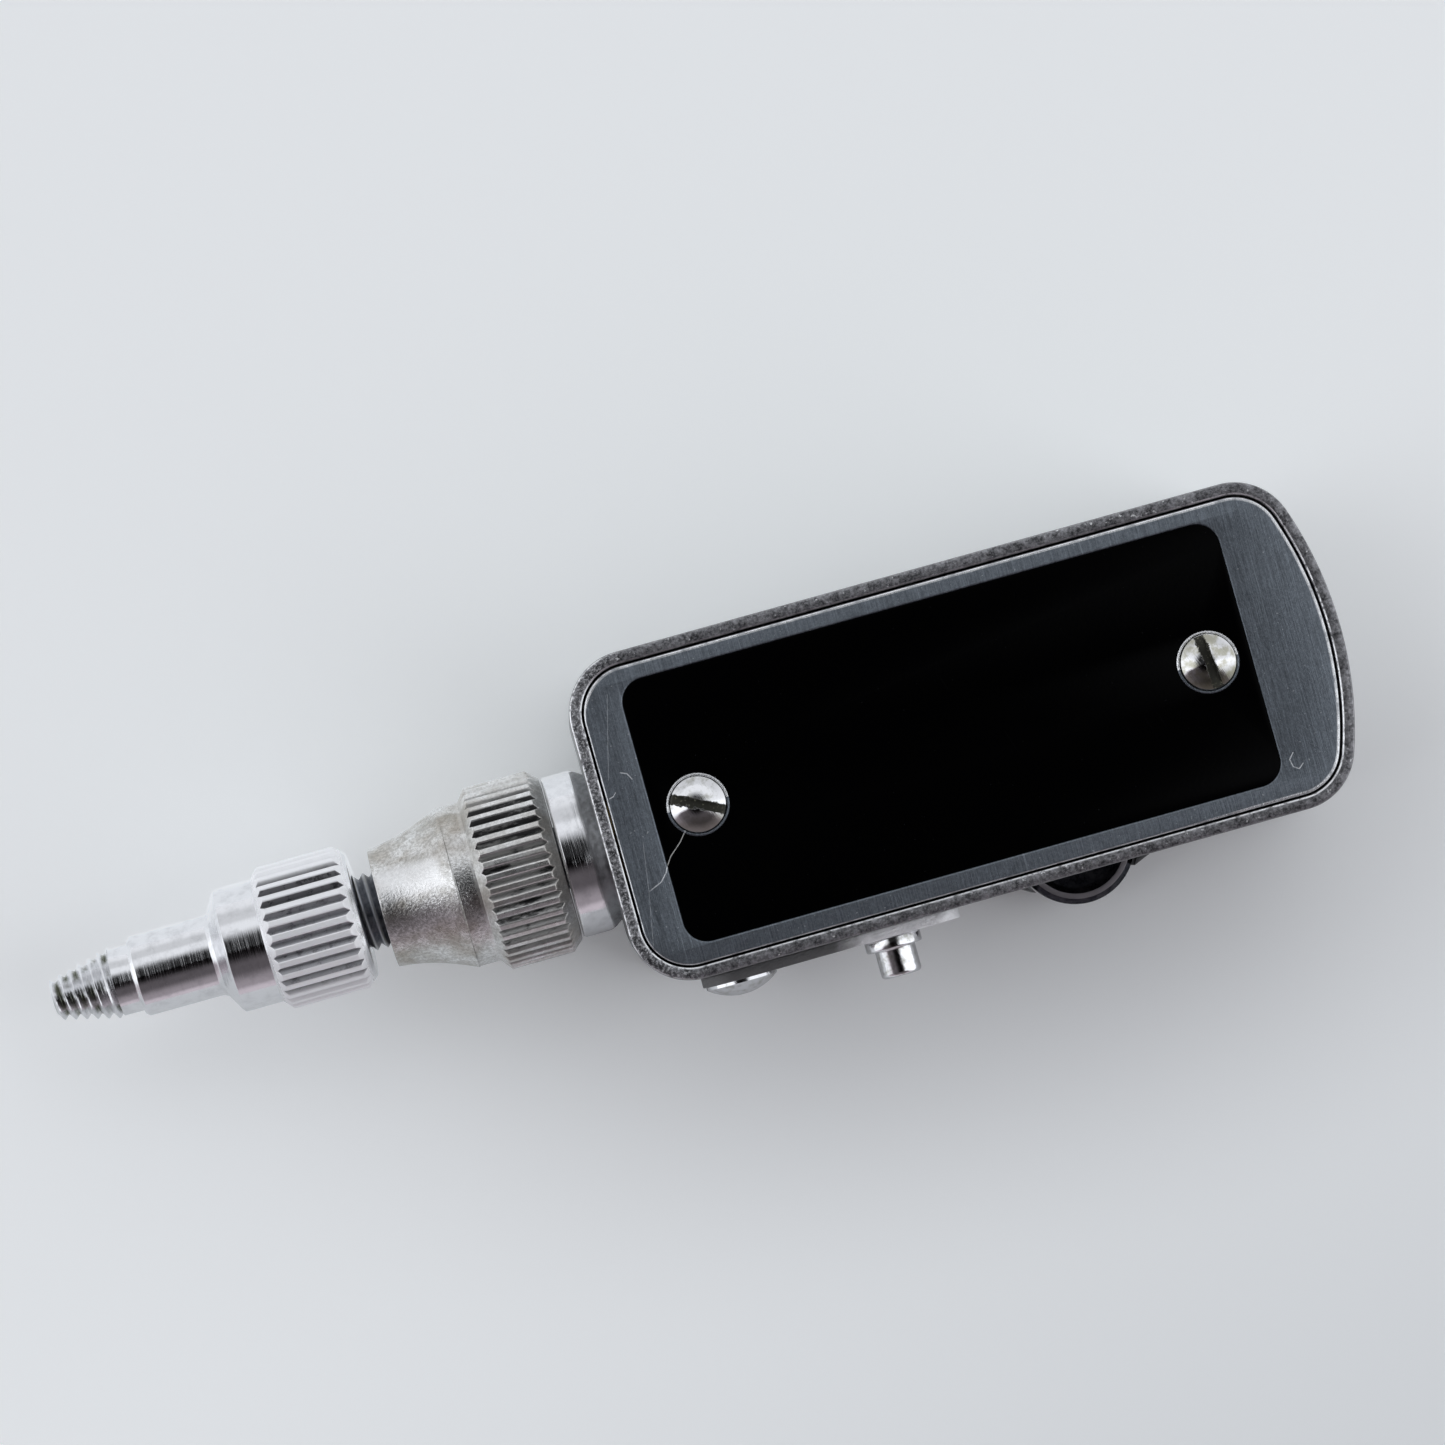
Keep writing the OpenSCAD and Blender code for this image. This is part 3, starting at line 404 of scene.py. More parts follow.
def plate(name, loops, z0, z1, bevel):
    """A flat sheet between z0 and z1: the first loop is its outline, the others are openings."""
    curve = bpy.data.curves.new(name, "CURVE")
    curve.dimensions = "2D"
    curve.fill_mode = "BOTH"
    curve.extrude = ((z1 - z0) / 2 - bevel) * MM
    curve.bevel_depth = bevel * MM
    curve.bevel_resolution = 2
    curve.offset = -bevel * MM
    for loop in loops:
        spline = curve.splines.new("POLY")
        spline.points.add(len(loop) - 1)
        for point, (x, y) in zip(spline.points, loop):
            point.co = (x * MM, y * MM, 0, 1)
        spline.use_cyclic_u = True
    drawn = placed(name + "_curve", curve)
    bpy.context.view_layer.update()
    mesh = evaluated(drawn)
    bpy.data.objects.remove(drawn)
    mesh.transform(Matrix.Translation((0, 0, (z0 + z1) / 2 * MM)))
    return placed(name, mesh)


def arc(middle, radius, start, end, steps):
    """Points on an arc, angles in degrees."""
    made = []
    for i in range(steps + 1):
        angle = math.radians(start + (end - start) * i / steps)
        made.append((middle[0] + radius * math.cos(angle), middle[1] + radius * math.sin(angle)))
    return made


def case_outline(inset, fine=1):
    """The case seen from the front, drawn in by inset."""
    front = X_CASE + CORNER_R
    top, bottom = CASE_MID + SIDE, CASE_MID - SIDE
    bow = math.degrees(BOW_ANGLE)
    radius = CORNER_R - inset
    return (
        arc((front, top), radius, 180, 90, 16 * fine)
        + arc((CORNER_X, top), radius, 90, bow, 12 * fine)
        + arc((BOW_X, CASE_MID), BOW_R - inset, bow, -bow, 24 * fine)[1:-1]
        + arc((CORNER_X, bottom), radius, -bow, -90, 12 * fine)
        + arc((front, bottom), radius, -90, -180, 16 * fine)
    )


def panel_outline():
    """The black field seen from the front."""
    x0, y0 = (v + PANEL_CORNER_R for v in PANEL_LOW)
    x1, y1 = (v - PANEL_CORNER_R for v in PANEL_HIGH)
    outline = []
    for i, corner in enumerate([(x1, y1), (x0, y1), (x0, y0), (x1, y0)]):
        outline += arc(corner, PANEL_CORNER_R, 90 * i, 90 * i + 90, 10)
    return outline


def prism(name, outline, z0, z1):
    """A straight-sided block between z0 and z1."""
    return skinned(name, [[(x, y, z) for x, y in outline] for z in (z0, z1)])


# ---- trees that shape meshes

def shape_tree(name, inputs):
    """A Geometry Nodes tree with named inputs: returns the tree, its entry and the inputs' numbers."""
    tree = bpy.data.node_groups.new(name, "GeometryNodeTree")
    sides = tree.interface
    sides.new_socket("Geometry", in_out="INPUT", socket_type="NodeSocketGeometry")
    sides.new_socket("Geometry", in_out="OUTPUT", socket_type="NodeSocketGeometry")
    for label, value in inputs.items():
        kind = "NodeSocketInt" if isinstance(value, int) else "NodeSocketFloat"
        sides.new_socket(label, in_out="INPUT", socket_type=kind).default_value = value
    sides.new_socket("Finish", in_out="INPUT", socket_type="NodeSocketMaterial")
    entry = tree.nodes.new("NodeGroupInput")
    return tree, entry, [Number(tree, entry.outputs[label]) for label in inputs]


def end_tree(tree, entry, geometry):
    """Ends a tree in Realize Instances and Set Material."""
    real = new_node(tree, "GeometryNodeRealizeInstances", Geometry=geometry)
    paint = new_node(tree, "GeometryNodeSetMaterial", Geometry=real.outputs[0],
                     Material=entry.outputs["Finish"])
    new_node(tree, "NodeGroupOutput", Geometry=paint.outputs[0])
    return tree


def shaped(made, tree, finish, **sizes):
    """Runs a tree on an object and keeps the result as its mesh."""
    modifier = made.modifiers.new(tree.name, "NODES")
    modifier.node_group = tree
    for item in tree.interface.items_tree:
        if item.in_out == "INPUT" and item.name.replace(" ", "_") in sizes:
            modifier[item.identifier] = sizes[item.name.replace(" ", "_")]
        if item.name == "Finish":
            modifier[item.identifier] = finish
    return applied(made)


def grown(name, tree, finish, **sizes):
    """An object whose mesh a tree makes from nothing."""
    return shaped(placed(name, bpy.data.meshes.new(name)), tree, finish, **sizes)


def position(tree):
    return split(tree, tree.nodes.new("GeometryNodeInputPosition").outputs[0])


def set_place(tree, geometry, place):
    return new_node(tree, "GeometryNodeSetPosition", Geometry=geometry, Position=place).outputs[0]


def knurl_tree():
    """Cuts straight V grooves along X into a turned piece. They run out on its chamfers."""
    tree, entry, (grooves, land, depth, half, start, end) = shape_tree("knurl", {
        "Grooves": 32, "Land Radius": 3.0, "Depth": 0.2, "Half Width": 0.25,
        "Start": 0.0, "End": 1.0,
    })
    x, y, z = position(tree)
    radius = hypot(y, z).do("MAXIMUM", 0.000001)
    turn = z.do("ARCTAN2", y) / TURN * grooves
    phase = (turn - turn.do("FLOOR") - 0.5).do("ABSOLUTE")
    cut = land - depth * (1.0 - phase / half).do("MAXIMUM", 0.0)
    inside = x.do("GREATER_THAN", start) * x.do("LESS_THAN", end)
    outer = radius.do("GREATER_THAN", land * 0.7)
    shrink = 1.0 + (radius.do("MINIMUM", cut) / radius - 1.0) * inside * outer
    place = joined(tree, x, y * shrink, z * shrink)
    return end_tree(tree, entry, set_place(tree, entry.outputs[0], place))


def thread_tree():
    """A right-handed screw thread about X with its bore, closed at both ends."""
    tree, entry, sizes = shape_tree("screw_thread", {
        "Start": 0.0, "End": 1.0, "Start Radius": 1.0, "End Radius": 1.0,
        "Bore": 0.5, "Pitch": 0.5, "Depth": 0.3, "Rows": 60, "Columns": 96,
    })
    start, end, start_r, end_r, bore_r, pitch, depth, rows, columns = sizes
    grid = new_node(tree, "GeometryNodeMeshGrid", Vertices_X=columns + 1, Vertices_Y=rows + 4)
    across, along, _ = position(tree)
    turn = across + 0.5
    row = ((along + 0.5) * (rows + 3)).do("ROUND")
    helix = start - pitch + pitch * turn + (row - 1) * pitch / 8
    last = row.do("GREATER_THAN", rows + 2.5)
    bore = row.do("LESS_THAN", 0.5) + row.do("GREATER_THAN", rows + 1.5)
    x = helix.do("MAXIMUM", start).do("MINIMUM", end)
    x = x * (1.0 - last) + start * last
    share = (x - start) / (end - start)
    phase = x / pitch - turn
    crest = (phase - phase.do("FLOOR") - 0.5).do("ABSOLUTE") * 2
    height = ((crest - 0.1) / 0.84).do("MAXIMUM", 0.0).do("MINIMUM", 1.0)
    radius = start_r + (end_r - start_r) * share - depth * (1.0 - height)
    radius = radius * (1.0 - bore) + bore_r * bore
    angle = turn * TURN
    place = joined(tree, x, radius * angle.do("COSINE"), radius * angle.do("SINE"))
    return end_tree(tree, entry, set_place(tree, grid.outputs[0], place))


def dome_tree():
    """A low domed head on +Z with a driver slot across it."""
    tree, entry, (full, height, edge, width, slot_floor, slot_turn) = shape_tree("slotted_dome", {
        "Radius": 1.0, "Height": 0.5, "Edge": 0.15, "Slot Width": 0.4, "Slot Floor": 0.2,
        "Slot Turn": 0.0,
    })
    grid = new_node(tree, "GeometryNodeMeshGrid", Vertices_X=129, Vertices_Y=33)
    across, along, _ = position(tree)
    angle = (across + 0.5) * TURN
    row = ((along + 0.5) * 32).do("ROUND")
    share = row.do("MINIMUM", 28.0) / 28
    foot = row.do("GREATER_THAN", 31.5)
    skirt = row.do("GREATER_THAN", 28.5)
    cap = height - edge
    ball = (full * full + cap * cap) / (cap * 2)
    flat = full * share
    rise = (ball * ball - flat * flat).do("SQRT") - ball + height
    lip = (row - 28).do("MAXIMUM", 0.0) / 3
    z = rise * (1.0 - skirt) + edge * (1.0 - lip.do("MINIMUM", 1.0)) * skirt
    radius = flat * (1.0 - foot)
    place = joined(tree, radius * angle.do("COSINE"), radius * angle.do("SINE"), z)
    outwards = new_node(tree, "GeometryNodeFlipFaces", Mesh=set_place(tree, grid.outputs[0], place))
    head = new_node(tree, "GeometryNodeMergeByDistance", Geometry=outwards.outputs[0], Distance=0.5e-6)
    cutter = new_node(tree, "GeometryNodeMeshCube", Size=joined(tree, full * 4, width, 0.002))
    seat = new_node(tree, "GeometryNodeTransform", Geometry=cutter.outputs["Mesh"],
                    Translation=joined(tree, 0.0, 0.0, slot_floor + 0.001),
                    Rotation=joined(tree, 0.0, 0.0, slot_turn))
    cut = tree.nodes.new("GeometryNodeMeshBoolean")
    cut.operation = "DIFFERENCE"
    cut.solver = "EXACT"
    tree.links.new(head.outputs[0], cut.inputs[0])
    tree.links.new(seat.outputs[0], cut.inputs[1])
    return end_tree(tree, entry, cut.outputs[0])


# ---- finishes

class Finish:
    """A material in the making, with object coordinates in millimetres."""

    def __init__(self, name, metallic=1.0, roughness=0.3):
        self.material = bpy.data.materials.new(name)
        self.material.use_nodes = True
        self.tree = self.material.node_tree
        self.shader = self.tree.nodes["Principled BSDF"]
        self.shader.inputs["Metallic"].default_value = metallic
        self.shader.inputs["Roughness"].default_value = roughness
        place = self.tree.nodes.new("ShaderNodeTexCoord")
        self.x, self.y, self.z = (n * 1000 for n in split(self.tree, place.outputs["Object"]))

    def noise(self, x, y, z, detail=2.0, roughness=0.5):
        """Noise of about 1 unit grain at the given coordinates, from 0 to 1."""
        node = new_node(self.tree, "ShaderNodeTexNoise", Vector=joined(self.tree, x, y, z), Scale=1.0,
                        Detail=detail, Roughness=roughness)
        return Number(self.tree, node.outputs[0])

    def grain(self, per_mm, detail=2.0, roughness=0.5, seed=0.0):
        return self.noise(self.x * per_mm + seed, self.y * per_mm, self.z * per_mm, detail, roughness)

    def mixed(self, a, b, factor):
        return mixed(self.tree, a, b, factor)

    def paint(self, colour):
        plug(self.tree, self.shader.inputs["Base Color"], colour)

    def rough(self, value):
        plug(self.tree, self.shader.inputs["Roughness"], value)

    def metal(self, value):
        plug(self.tree, self.shader.inputs["Metallic"], value)

    def bump(self, height, distance):
        """Raises the surface by height times distance in millimetres."""
        node = new_node(self.tree, "ShaderNodeBump", Distance=distance * MM, Height=height)
        plug(self.tree, self.shader.inputs["Normal"], node.outputs[0])

    def radius(self):
        """Distance from the nose's axis."""
        return hypot(self.y, self.z)

    def below_land(self, land, ends, slopes):
        """How deep a point lies below a grip's lands, which slope away beyond their ends."""
        before = (ends[0] - self.x).do("MAXIMUM", 0.0) * slopes[0]
        after = (self.x - ends[1]).do("MAXIMUM", 0.0) * slopes[1]
        return land - before - after - self.radius()


def turned_chrome():
    """Chrome with the tool's fine turning lines, dirt in the thread and grime in the grooves, painted
    shade in the grip's grooves along its upper side and a painted highlight on its lands.
    """
    finish = Finish("turned_chrome")
    x, y, z = finish.x, finish.y, finish.z
    radius = finish.radius()
    crest = THREAD_R + x * ((THREAD_R - THREAD_TIP_R) / -X_THREAD_TIP)
    deep = (crest - radius).step(0.08, 0.26) * x.do("LESS_THAN", 0.02)
    patch = finish.grain(0.9, 3.0).step(0.4, 0.62)
    groove = finish.below_land(GRIP_R, GRIP_LANDS, GRIP_SLOPES).step(0.016, 0.05)
    groove = groove * x.near(9.62, 2.06, 0.03) * y.near(0.0, 2.4, 0.5)
    lines = finish.noise(x * 14, y * 0.15, z * 0.15, 3.0, 0.7)
    lines = lines + finish.noise(x * 45, y * 0.3, z * 0.3, 1.0) * 0.5
    clouds = finish.grain(1.6, 4.0, 0.6)
    silver = finish.mixed((0.74, 0.745, 0.76), (0.62, 0.625, 0.64), clouds.step(0.4, 0.75))
    stained = finish.mixed(silver, (0.2, 0.21, 0.17), deep * patch)
    grip = x.near(9.6, 2.0, 0.3)
    grime = finish.grain(2.2, 4.0, 0.7, 8.0).step(0.5, 0.66)
    # Grime in the grooves, plus painted shade in the grooves along the upper side (y near 2, z above
    # 0).
    grime_and_shade = (grime * 0.6 + y.near(2.0, 0.6, 0.4) * z.step(0.0, 1.0) * 0.6).do("MINIMUM", 1.0)
    grime_and_shade_colour = finish.mixed((0.42, 0.42, 0.44), (0.09, 0.09, 0.095), grime_and_shade)
    # Painted highlight: the small grip's lands are painted near white and made partly diffuse (Metallic
    # below), so they look bright where chrome would mirror the dark overhead.
    toned = finish.mixed(stained, (0.93, 0.935, 0.95), grip * 0.85)
    finish.paint(finish.mixed(toned, grime_and_shade_colour, groove))
    finish.rough(0.07 + clouds.step(0.45, 0.7) * 0.1 + groove * 0.18 + deep * 0.15 + grip * 0.24)
    finish.metal(1.0 - grip * (1.0 - groove) * 0.75)
    finish.bump(lines, 0.007)
    return finish.material


def cover_slots(finish):
    """Distance from the middle line of the nearer cover screw's slot."""
    away = []
    for (x, y), turn in zip(COVER_AT, COVER_TURN):
        lean = math.radians(turn)
        across = (finish.y - y) * math.cos(lean) - (finish.x - x) * math.sin(lean)
        away.append(across.do("ABSOLUTE"))
    return away[0].do("MINIMUM", away[1])


def pivot_slot(finish):
    """Distance from the middle line of the pivot screw's slot."""
    return (finish.z - PIVOT[2]).do("ABSOLUTE")


def cover_stains(finish, silver, clouds):
    """Stains the near halves of the cover screws, and turns the far screw olive."""
    olive = finish.x.step(40.0, 50.0)
    silver = finish.mixed(silver, (0.42, 0.41, 0.33), olive * clouds.step(0.34, 0.6) * 0.8)
    brown = finish.mixed((0.26, 0.25, 0.22), (0.13, 0.125, 0.09), olive)
    low = finish.y.step(COVER_AT[0][1] - 0.1, COVER_AT[0][1] - 0.9)
    return finish.mixed(silver, brown, low * 0.85)


def polished_chrome(name, from_slot=None, stains=None):
    """Polished heads with hairlines. Brown-green dirt fills a slot and spills over."""
    finish = Finish(name)
    x, y, z = finish.x, finish.y, finish.z
    clouds = finish.grain(2.5, 4.0, 0.6)
    hair = finish.noise(x * 18 + y * 7, y * 1.2, z, 2.0, 0.7)
    colour = finish.mixed((0.76, 0.765, 0.78), (0.46, 0.46, 0.43), clouds.step(0.44, 0.72))
    roughness = 0.06 + clouds.step(0.45, 0.75) * 0.12
    if stains:
        colour = stains(finish, colour, clouds)
    if from_slot:
        ragged = (finish.grain(3.0, 4.0, 0.75, 6.0) - 0.5) * 0.55
        dirt = (from_slot(finish) - ragged).step(0.27, 0.22)
        crumbs = finish.grain(7.0, 3.0, 0.7).step(0.6, 0.68)
        soil = finish.mixed((0.02, 0.02, 0.012), (0.2, 0.2, 0.14), crumbs)
        colour = finish.mixed(colour, soil, dirt)
        roughness = roughness + dirt * 0.5
        finish.metal(1.0 - dirt * 0.85)
    finish.paint(colour)
    finish.rough(roughness)
    finish.bump(hair, 0.004)
    return finish.material


def dull_nickel():
    """Nickel gone dull: warm stains, a sparkling grain and grime in the grooves, with a painted
    highlight on the cone and the grip's chamfers and painted shade in the grooves along the upper side.
    """
    finish = Finish("dull_nickel")
    x, y, z = finish.x, finish.y, finish.z
    stains = finish.grain(0.7, 5.0, 0.62)
    warm = finish.grain(0.45, 3.0, 0.5, 31.0).step(0.42, 0.66)
    grain = finish.grain(6.5, 3.0, 0.75)
    lines = finish.noise(x * 9, y * 0.4, z * 0.4, 3.0, 0.7)
    groove = finish.below_land(COLLAR_R, COLLAR_LANDS, COLLAR_SLOPES).step(0.018, 0.06)
    groove = groove * x.near(19.65, 1.7, 0.03) * y.near(0.0, 3.2, 0.6)
    chamfer = x.near(17.85, 0.25, 0.1).do("MAXIMUM", x.near(21.4, 0.28, 0.1))
    fleck = grain.step(0.38, 0.62)
    silver = finish.mixed((0.78, 0.785, 0.78), (0.5, 0.49, 0.46), stains.step(0.4, 0.64))
    brown = finish.mixed(silver, (0.36, 0.32, 0.27), warm * 0.65)
    brown = finish.mixed(finish.mixed(brown, (0.16, 0.15, 0.13), 0.45), brown, fleck)
    # Painted highlight: a pale patch on the top of the cone.
    cone_highlight = x.near(14.6, 1.3, 0.6) * y.near(0.9, 0.5, 0.5) * z.step(0.0, 1.0)
    brown = finish.mixed(brown, (0.86, 0.865, 0.87), cone_highlight * 0.7)
    # Painted highlight: the grip's chamfers are painted paler.
    brown = finish.mixed(brown, (0.8, 0.8, 0.78), chamfer * 0.2)
    grime = finish.noise(x * 0.7, y * 1.8, z * 1.8, 4.0, 0.7)
    # Grime in the grooves, plus painted shade in the grooves along the upper side (y near 2.4, z above
    # 0).
    grime = (grime + y.near(2.4, 0.7, 0.5) * z.step(0.0, 1.0) * 0.16).step(0.48, 0.62)
    grime_and_shade_colour = finish.mixed((0.42, 0.42, 0.41), (0.08, 0.08, 0.08), grime)
    grip = x.near(19.63, 1.4, 0.15)
    land = finish.mixed(brown, (0.82, 0.825, 0.82), grip * 0.35)
    finish.paint(finish.mixed(land, grime_and_shade_colour, groove))
    finish.rough(0.17 + stains.step(0.3, 0.7) * 0.12 + groove * 0.15 + chamfer * 0.12 + grip * 0.08)
    finish.bump((grain + lines * 0.3) * (1.0 - grip * 0.55), 0.024)
    return finish.material


def black_steel():
    """Oiled black steel with worn crests."""
    finish = Finish("black_steel")
    crest = finish.radius().step(STEM_R - 0.14, STEM_R - 0.03)
    spots = finish.grain(3.0, 3.0, 0.6).step(0.35, 0.7)
    dark = finish.mixed((0.17, 0.18, 0.2), (0.34, 0.35, 0.375), spots)
    finish.paint(finish.mixed(dark, (0.72, 0.73, 0.75), crest))
    finish.rough(0.34 + spots * 0.16)
    finish.bump(finish.grain(14.0), 0.004)
    return finish.material


def case_sheet():
    """Nickelled sheet, oxidised in mottles and rubbed bright along the rim."""
    finish = Finish("case_sheet")
    x, y, z = finish.x, finish.y, finish.z
    mottle = finish.grain(2.6, 6.0, 0.66)
    broad = finish.grain(0.35, 3.0, 0.5, 12.0)
    scrape = finish.noise(x * 0.8, y * 0.8, z * 16, 3.0, 0.7)
    nick = finish.grain(3.4, 4.0, 0.6, 5.0).step(0.64, 0.7)
    rim = z.step(Z_RIM - 0.14, Z_RIM - 0.02)
    crisp = finish.grain(7.0, 3.0, 0.75, 21.0)
    inside = from_outline(finish)
    left = x.step(X_CASE + 3.5, X_CASE + 1.5)
    right = x.step(52.0, 56.0)
    low = y.step(-2.0, -6.0)
    outer = inside.step(0.11, 0.06) * inside.step(0.0, 0.03) * (left * 0.75 + 0.12)
    inner = inside.step(WALL - 0.12, WALL - 0.06) * (left * 0.7 + right * 0.8 + low * 0.6 + 0.25)
    edge = (outer + inner).do("MINIMUM", 1.0) * z.step(Z_RIM - 0.12, Z_RIM - 0.06)
    edge = edge * finish.grain(2.0, 4.0, 0.7, 3.0).step(0.36, 0.52)
    tone = mottle.step(0.36, 0.66) * 0.6 + crisp.step(0.4, 0.64) * 0.5
    dark = finish.mixed((0.05, 0.05, 0.053), (0.33, 0.33, 0.345), tone)
    dark = finish.mixed(dark, (0.7, 0.71, 0.73), left * crisp.step(0.5, 0.62) * 0.7)
    patches = (broad * 0.6 + mottle * 0.6).step(0.5, 0.76)
    side = finish.mixed((0.24, 0.245, 0.25), (0.12, 0.12, 0.12), patches)
    base = finish.mixed(side, dark, rim)
    bare = (nick * rim * 0.8).do("MAXIMUM", edge)
    finish.paint(finish.mixed(base, (0.85, 0.86, 0.87), bare))
    finish.rough(0.3 + mottle * 0.25 - edge * 0.15)
    top = z.step(Z_RIM - 0.02, Z_RIM - 0.002)
    finish.bump((mottle * 1.4 + crisp * 0.8) * top + scrape * 0.25 + finish.grain(9.0) * 0.3, 0.02)
    return finish.material


def from_outline(finish):
    """How far a point lies inside the case's outline, seen from the front."""
    up = (finish.y - CASE_MID).do("ABSOLUTE")
    past = highest(X_CASE + CORNER_R - finish.x, finish.x - CORNER_X, 0.0)
    straight = CORNER_R - hypot(past, (up - SIDE).do("MAXIMUM", 0.0))
    dx = finish.x - BOW_X
    bowed = BOW_R - hypot(dx, up)
    in_bow = up.do("ARCTAN2", dx).do("LESS_THAN", BOW_ANGLE)
    return straight + (bowed - straight) * in_bow


# Marks on the face, in millimetres
HAIR = (
    (27.55, -0.33), (27.18, -0.77), (26.6, -1.27), (26.34, -1.64), (26.2, -1.93), (25.88, -2.28),
    (25.25, -2.55),
)
CURLS = (
    ((25.4, 3.06), (25.68, 2.94), (25.84, 2.64)),
    ((24.6, 2.04), (24.78, 2.09), (24.93, 2.23)),
    ((55.61, -4.38), (55.37, -4.66), (55.45, -5.02), (55.7, -5.18), (55.93, -4.98)),
)
RULED = (
    ((25.78, 6.69), (25.23, 4.63), (24.78, 2.88)),
    ((25.54, -0.31), (25.2, -2.53), (24.72, -5.05)),
)


def segment(finish, a, b, width):
    """A hair-thin line from a to b in the plane of the face."""
    length = math.hypot(b[0] - a[0], b[1] - a[1])
    ux, uy = (b[0] - a[0]) / length, (b[1] - a[1]) / length
    dx = finish.x - a[0]
    dy = finish.y - a[1]
    held = (dx * ux + dy * uy).do("MAXIMUM", 0.0).do("MINIMUM", length)
    return hypot(dx - held * ux, dy - held * uy).step(width, width * 0.4)


def hairline(finish, points, width):
    """A thin scratch through several points, uneven along its length."""
    mark = highest(*[segment(finish, a, b, width) for a, b in zip(points, points[1:])])
    return mark * (finish.grain(3.0, 2.0, 0.6, 17.0).step(0.25, 0.5) * 0.7 + 0.3)


def ring_scratch(finish, middle, radius, start, end, width):
    """A hair-thin scratch along an arc in the plane of the face, angles in degrees."""
    dx = finish.x - middle[0]
    dy = finish.y - middle[1]
    wobble = finish.grain(1.1, 1.0) * 0.12
    away = (hypot(dx, dy) - radius + wobble).do("ABSOLUTE")
    angle = dy.do("ARCTAN2", dx)
    half = math.radians(end - start) / 2
    along = angle.near(math.radians(start + end) / 2, half, 0.03)
    return away.step(width, width * 0.4) * along


def face_aluminium():
    """Aluminium brushed across its width, greyed, with a few curved scratches and a painted highlight
    along its edge.
    """
    finish = Finish("face_aluminium")
    x, y = finish.x, finish.y
    brush = finish.noise(x * 13, y * 0.35, 0.0, 4.0, 0.75)
    fine = finish.noise(x * 42, y * 1.1, 3.0, 2.0, 0.7)
    cloud = finish.grain(0.5, 3.0, 0.5)
    fleck = finish.grain(9.0, 3.0, 0.8, 4.0)
    streak = finish.noise(x * 5, y * 0.12, 7.0, 3.0, 0.7).step(0.6, 0.72)
    tone = brush.step(0.3, 0.72) * 0.55 + fleck.step(0.4, 0.62) * 0.3
    bright = finish.mixed((0.094, 0.106, 0.12), (0.235, 0.267, 0.303), tone)
    toned = finish.mixed(bright, (0.33, 0.37, 0.41), streak * 0.5)
    speck = finish.grain(5.2, 2.0, 0.6, 9.0).step(0.68, 0.74)
    # Painted highlight: a bright band along the plate's edge, wider at the right end and the top; the
    # rings round the screws are bare metal.
    width = 0.07 + x.step(48.0, 55.0).do("MAXIMUM", y.step(5.5, 7.0)) * 0.09
    edge = (FACE_INSET + width - from_outline(finish)).step(-0.03, 0.03)
    edge = edge * (finish.grain(1.5, 4.0, 0.7, 2.0).step(0.3, 0.55) * 0.6 + 0.3)
    bare = highest(edge, *[ring_scratch(finish, at, COVER_R + 0.13, 0, 360, 0.2) for at in COVER_AT])
    marks = [hairline(finish, points, 0.03) for points in (HAIR, *CURLS)]
    marks = highest(*marks, *[hairline(finish, points, 0.02) * 0.35 for points in RULED])
    paint = finish.mixed(toned, (0.85, 0.86, 0.87), bare)
    paint = finish.mixed(paint, (0.5, 0.52, 0.54), speck * 0.6)
    finish.paint(finish.mixed(paint, (0.8, 0.82, 0.84), marks * 0.8))
    finish.rough(0.34 + cloud * 0.14 - bare * 0.2)
    finish.bump(brush + fine * 0.5 + fleck * 0.5 - marks * 0.5, 0.012)
    return finish.material


def black_enamel():
    """Deep black enamel with a soft sheen, dust and hair scratches."""
    finish = Finish("black_enamel", metallic=0.0)
    x, y = finish.x, finish.y
    cloud = finish.grain(0.6, 3.0, 0.5)
    dust = finish.grain(7.0, 2.0, 0.6, 3.0).step(0.74, 0.8)
    hair = finish.noise(x * 6 + y * 2, y * 0.25 - x * 0.1, 2.0, 2.0, 0.7).step(0.7, 0.76)
    marks = hairline(finish, HAIR, 0.03)
    marks = marks.do("MAXIMUM", ring_scratch(finish, COVER_AT[0], 1.95, 195, 262, 0.02) * 0.3)
    deep = finish.mixed((0.0005, 0.0005, 0.0006), (0.02, 0.021, 0.023), dust * 0.5 + hair * 0.05)
    finish.paint(finish.mixed(deep, (0.5, 0.5, 0.48), marks * 0.8))
    finish.rough(0.16 + cloud * 0.06 + marks * 0.3)
    finish.bump(finish.grain(5.0, 3.0, 0.6), 0.003)
    finish.shader.inputs["Specular IOR Level"].default_value = 0.03
    return finish.material


def lever_steel():
    """Plated strip, brushed along its length, with painted shade that darkens it near the pivot."""
    finish = Finish("lever_steel", metallic=0.5)
    brush = finish.noise(finish.x * 0.6, finish.y * 9, finish.z * 16, 3.0, 0.7)
    stain = finish.grain(1.1, 4.0, 0.6)
    # Painted shade: the strip is painted dark towards the pivot.
    dark = (finish.x + stain * 1.5).step(35.4, 33.6)
    silver = finish.mixed((0.98, 0.985, 1.0), (0.8, 0.805, 0.82), stain.step(0.45, 0.7))
    finish.paint(finish.mixed(silver, (0.09, 0.09, 0.09), dark * 0.93))
    finish.rough(0.4 + stain * 0.15)
    finish.bump(brush + finish.grain(5.0, 3.0, 0.7) * 1.2, 0.035)
    return finish.material


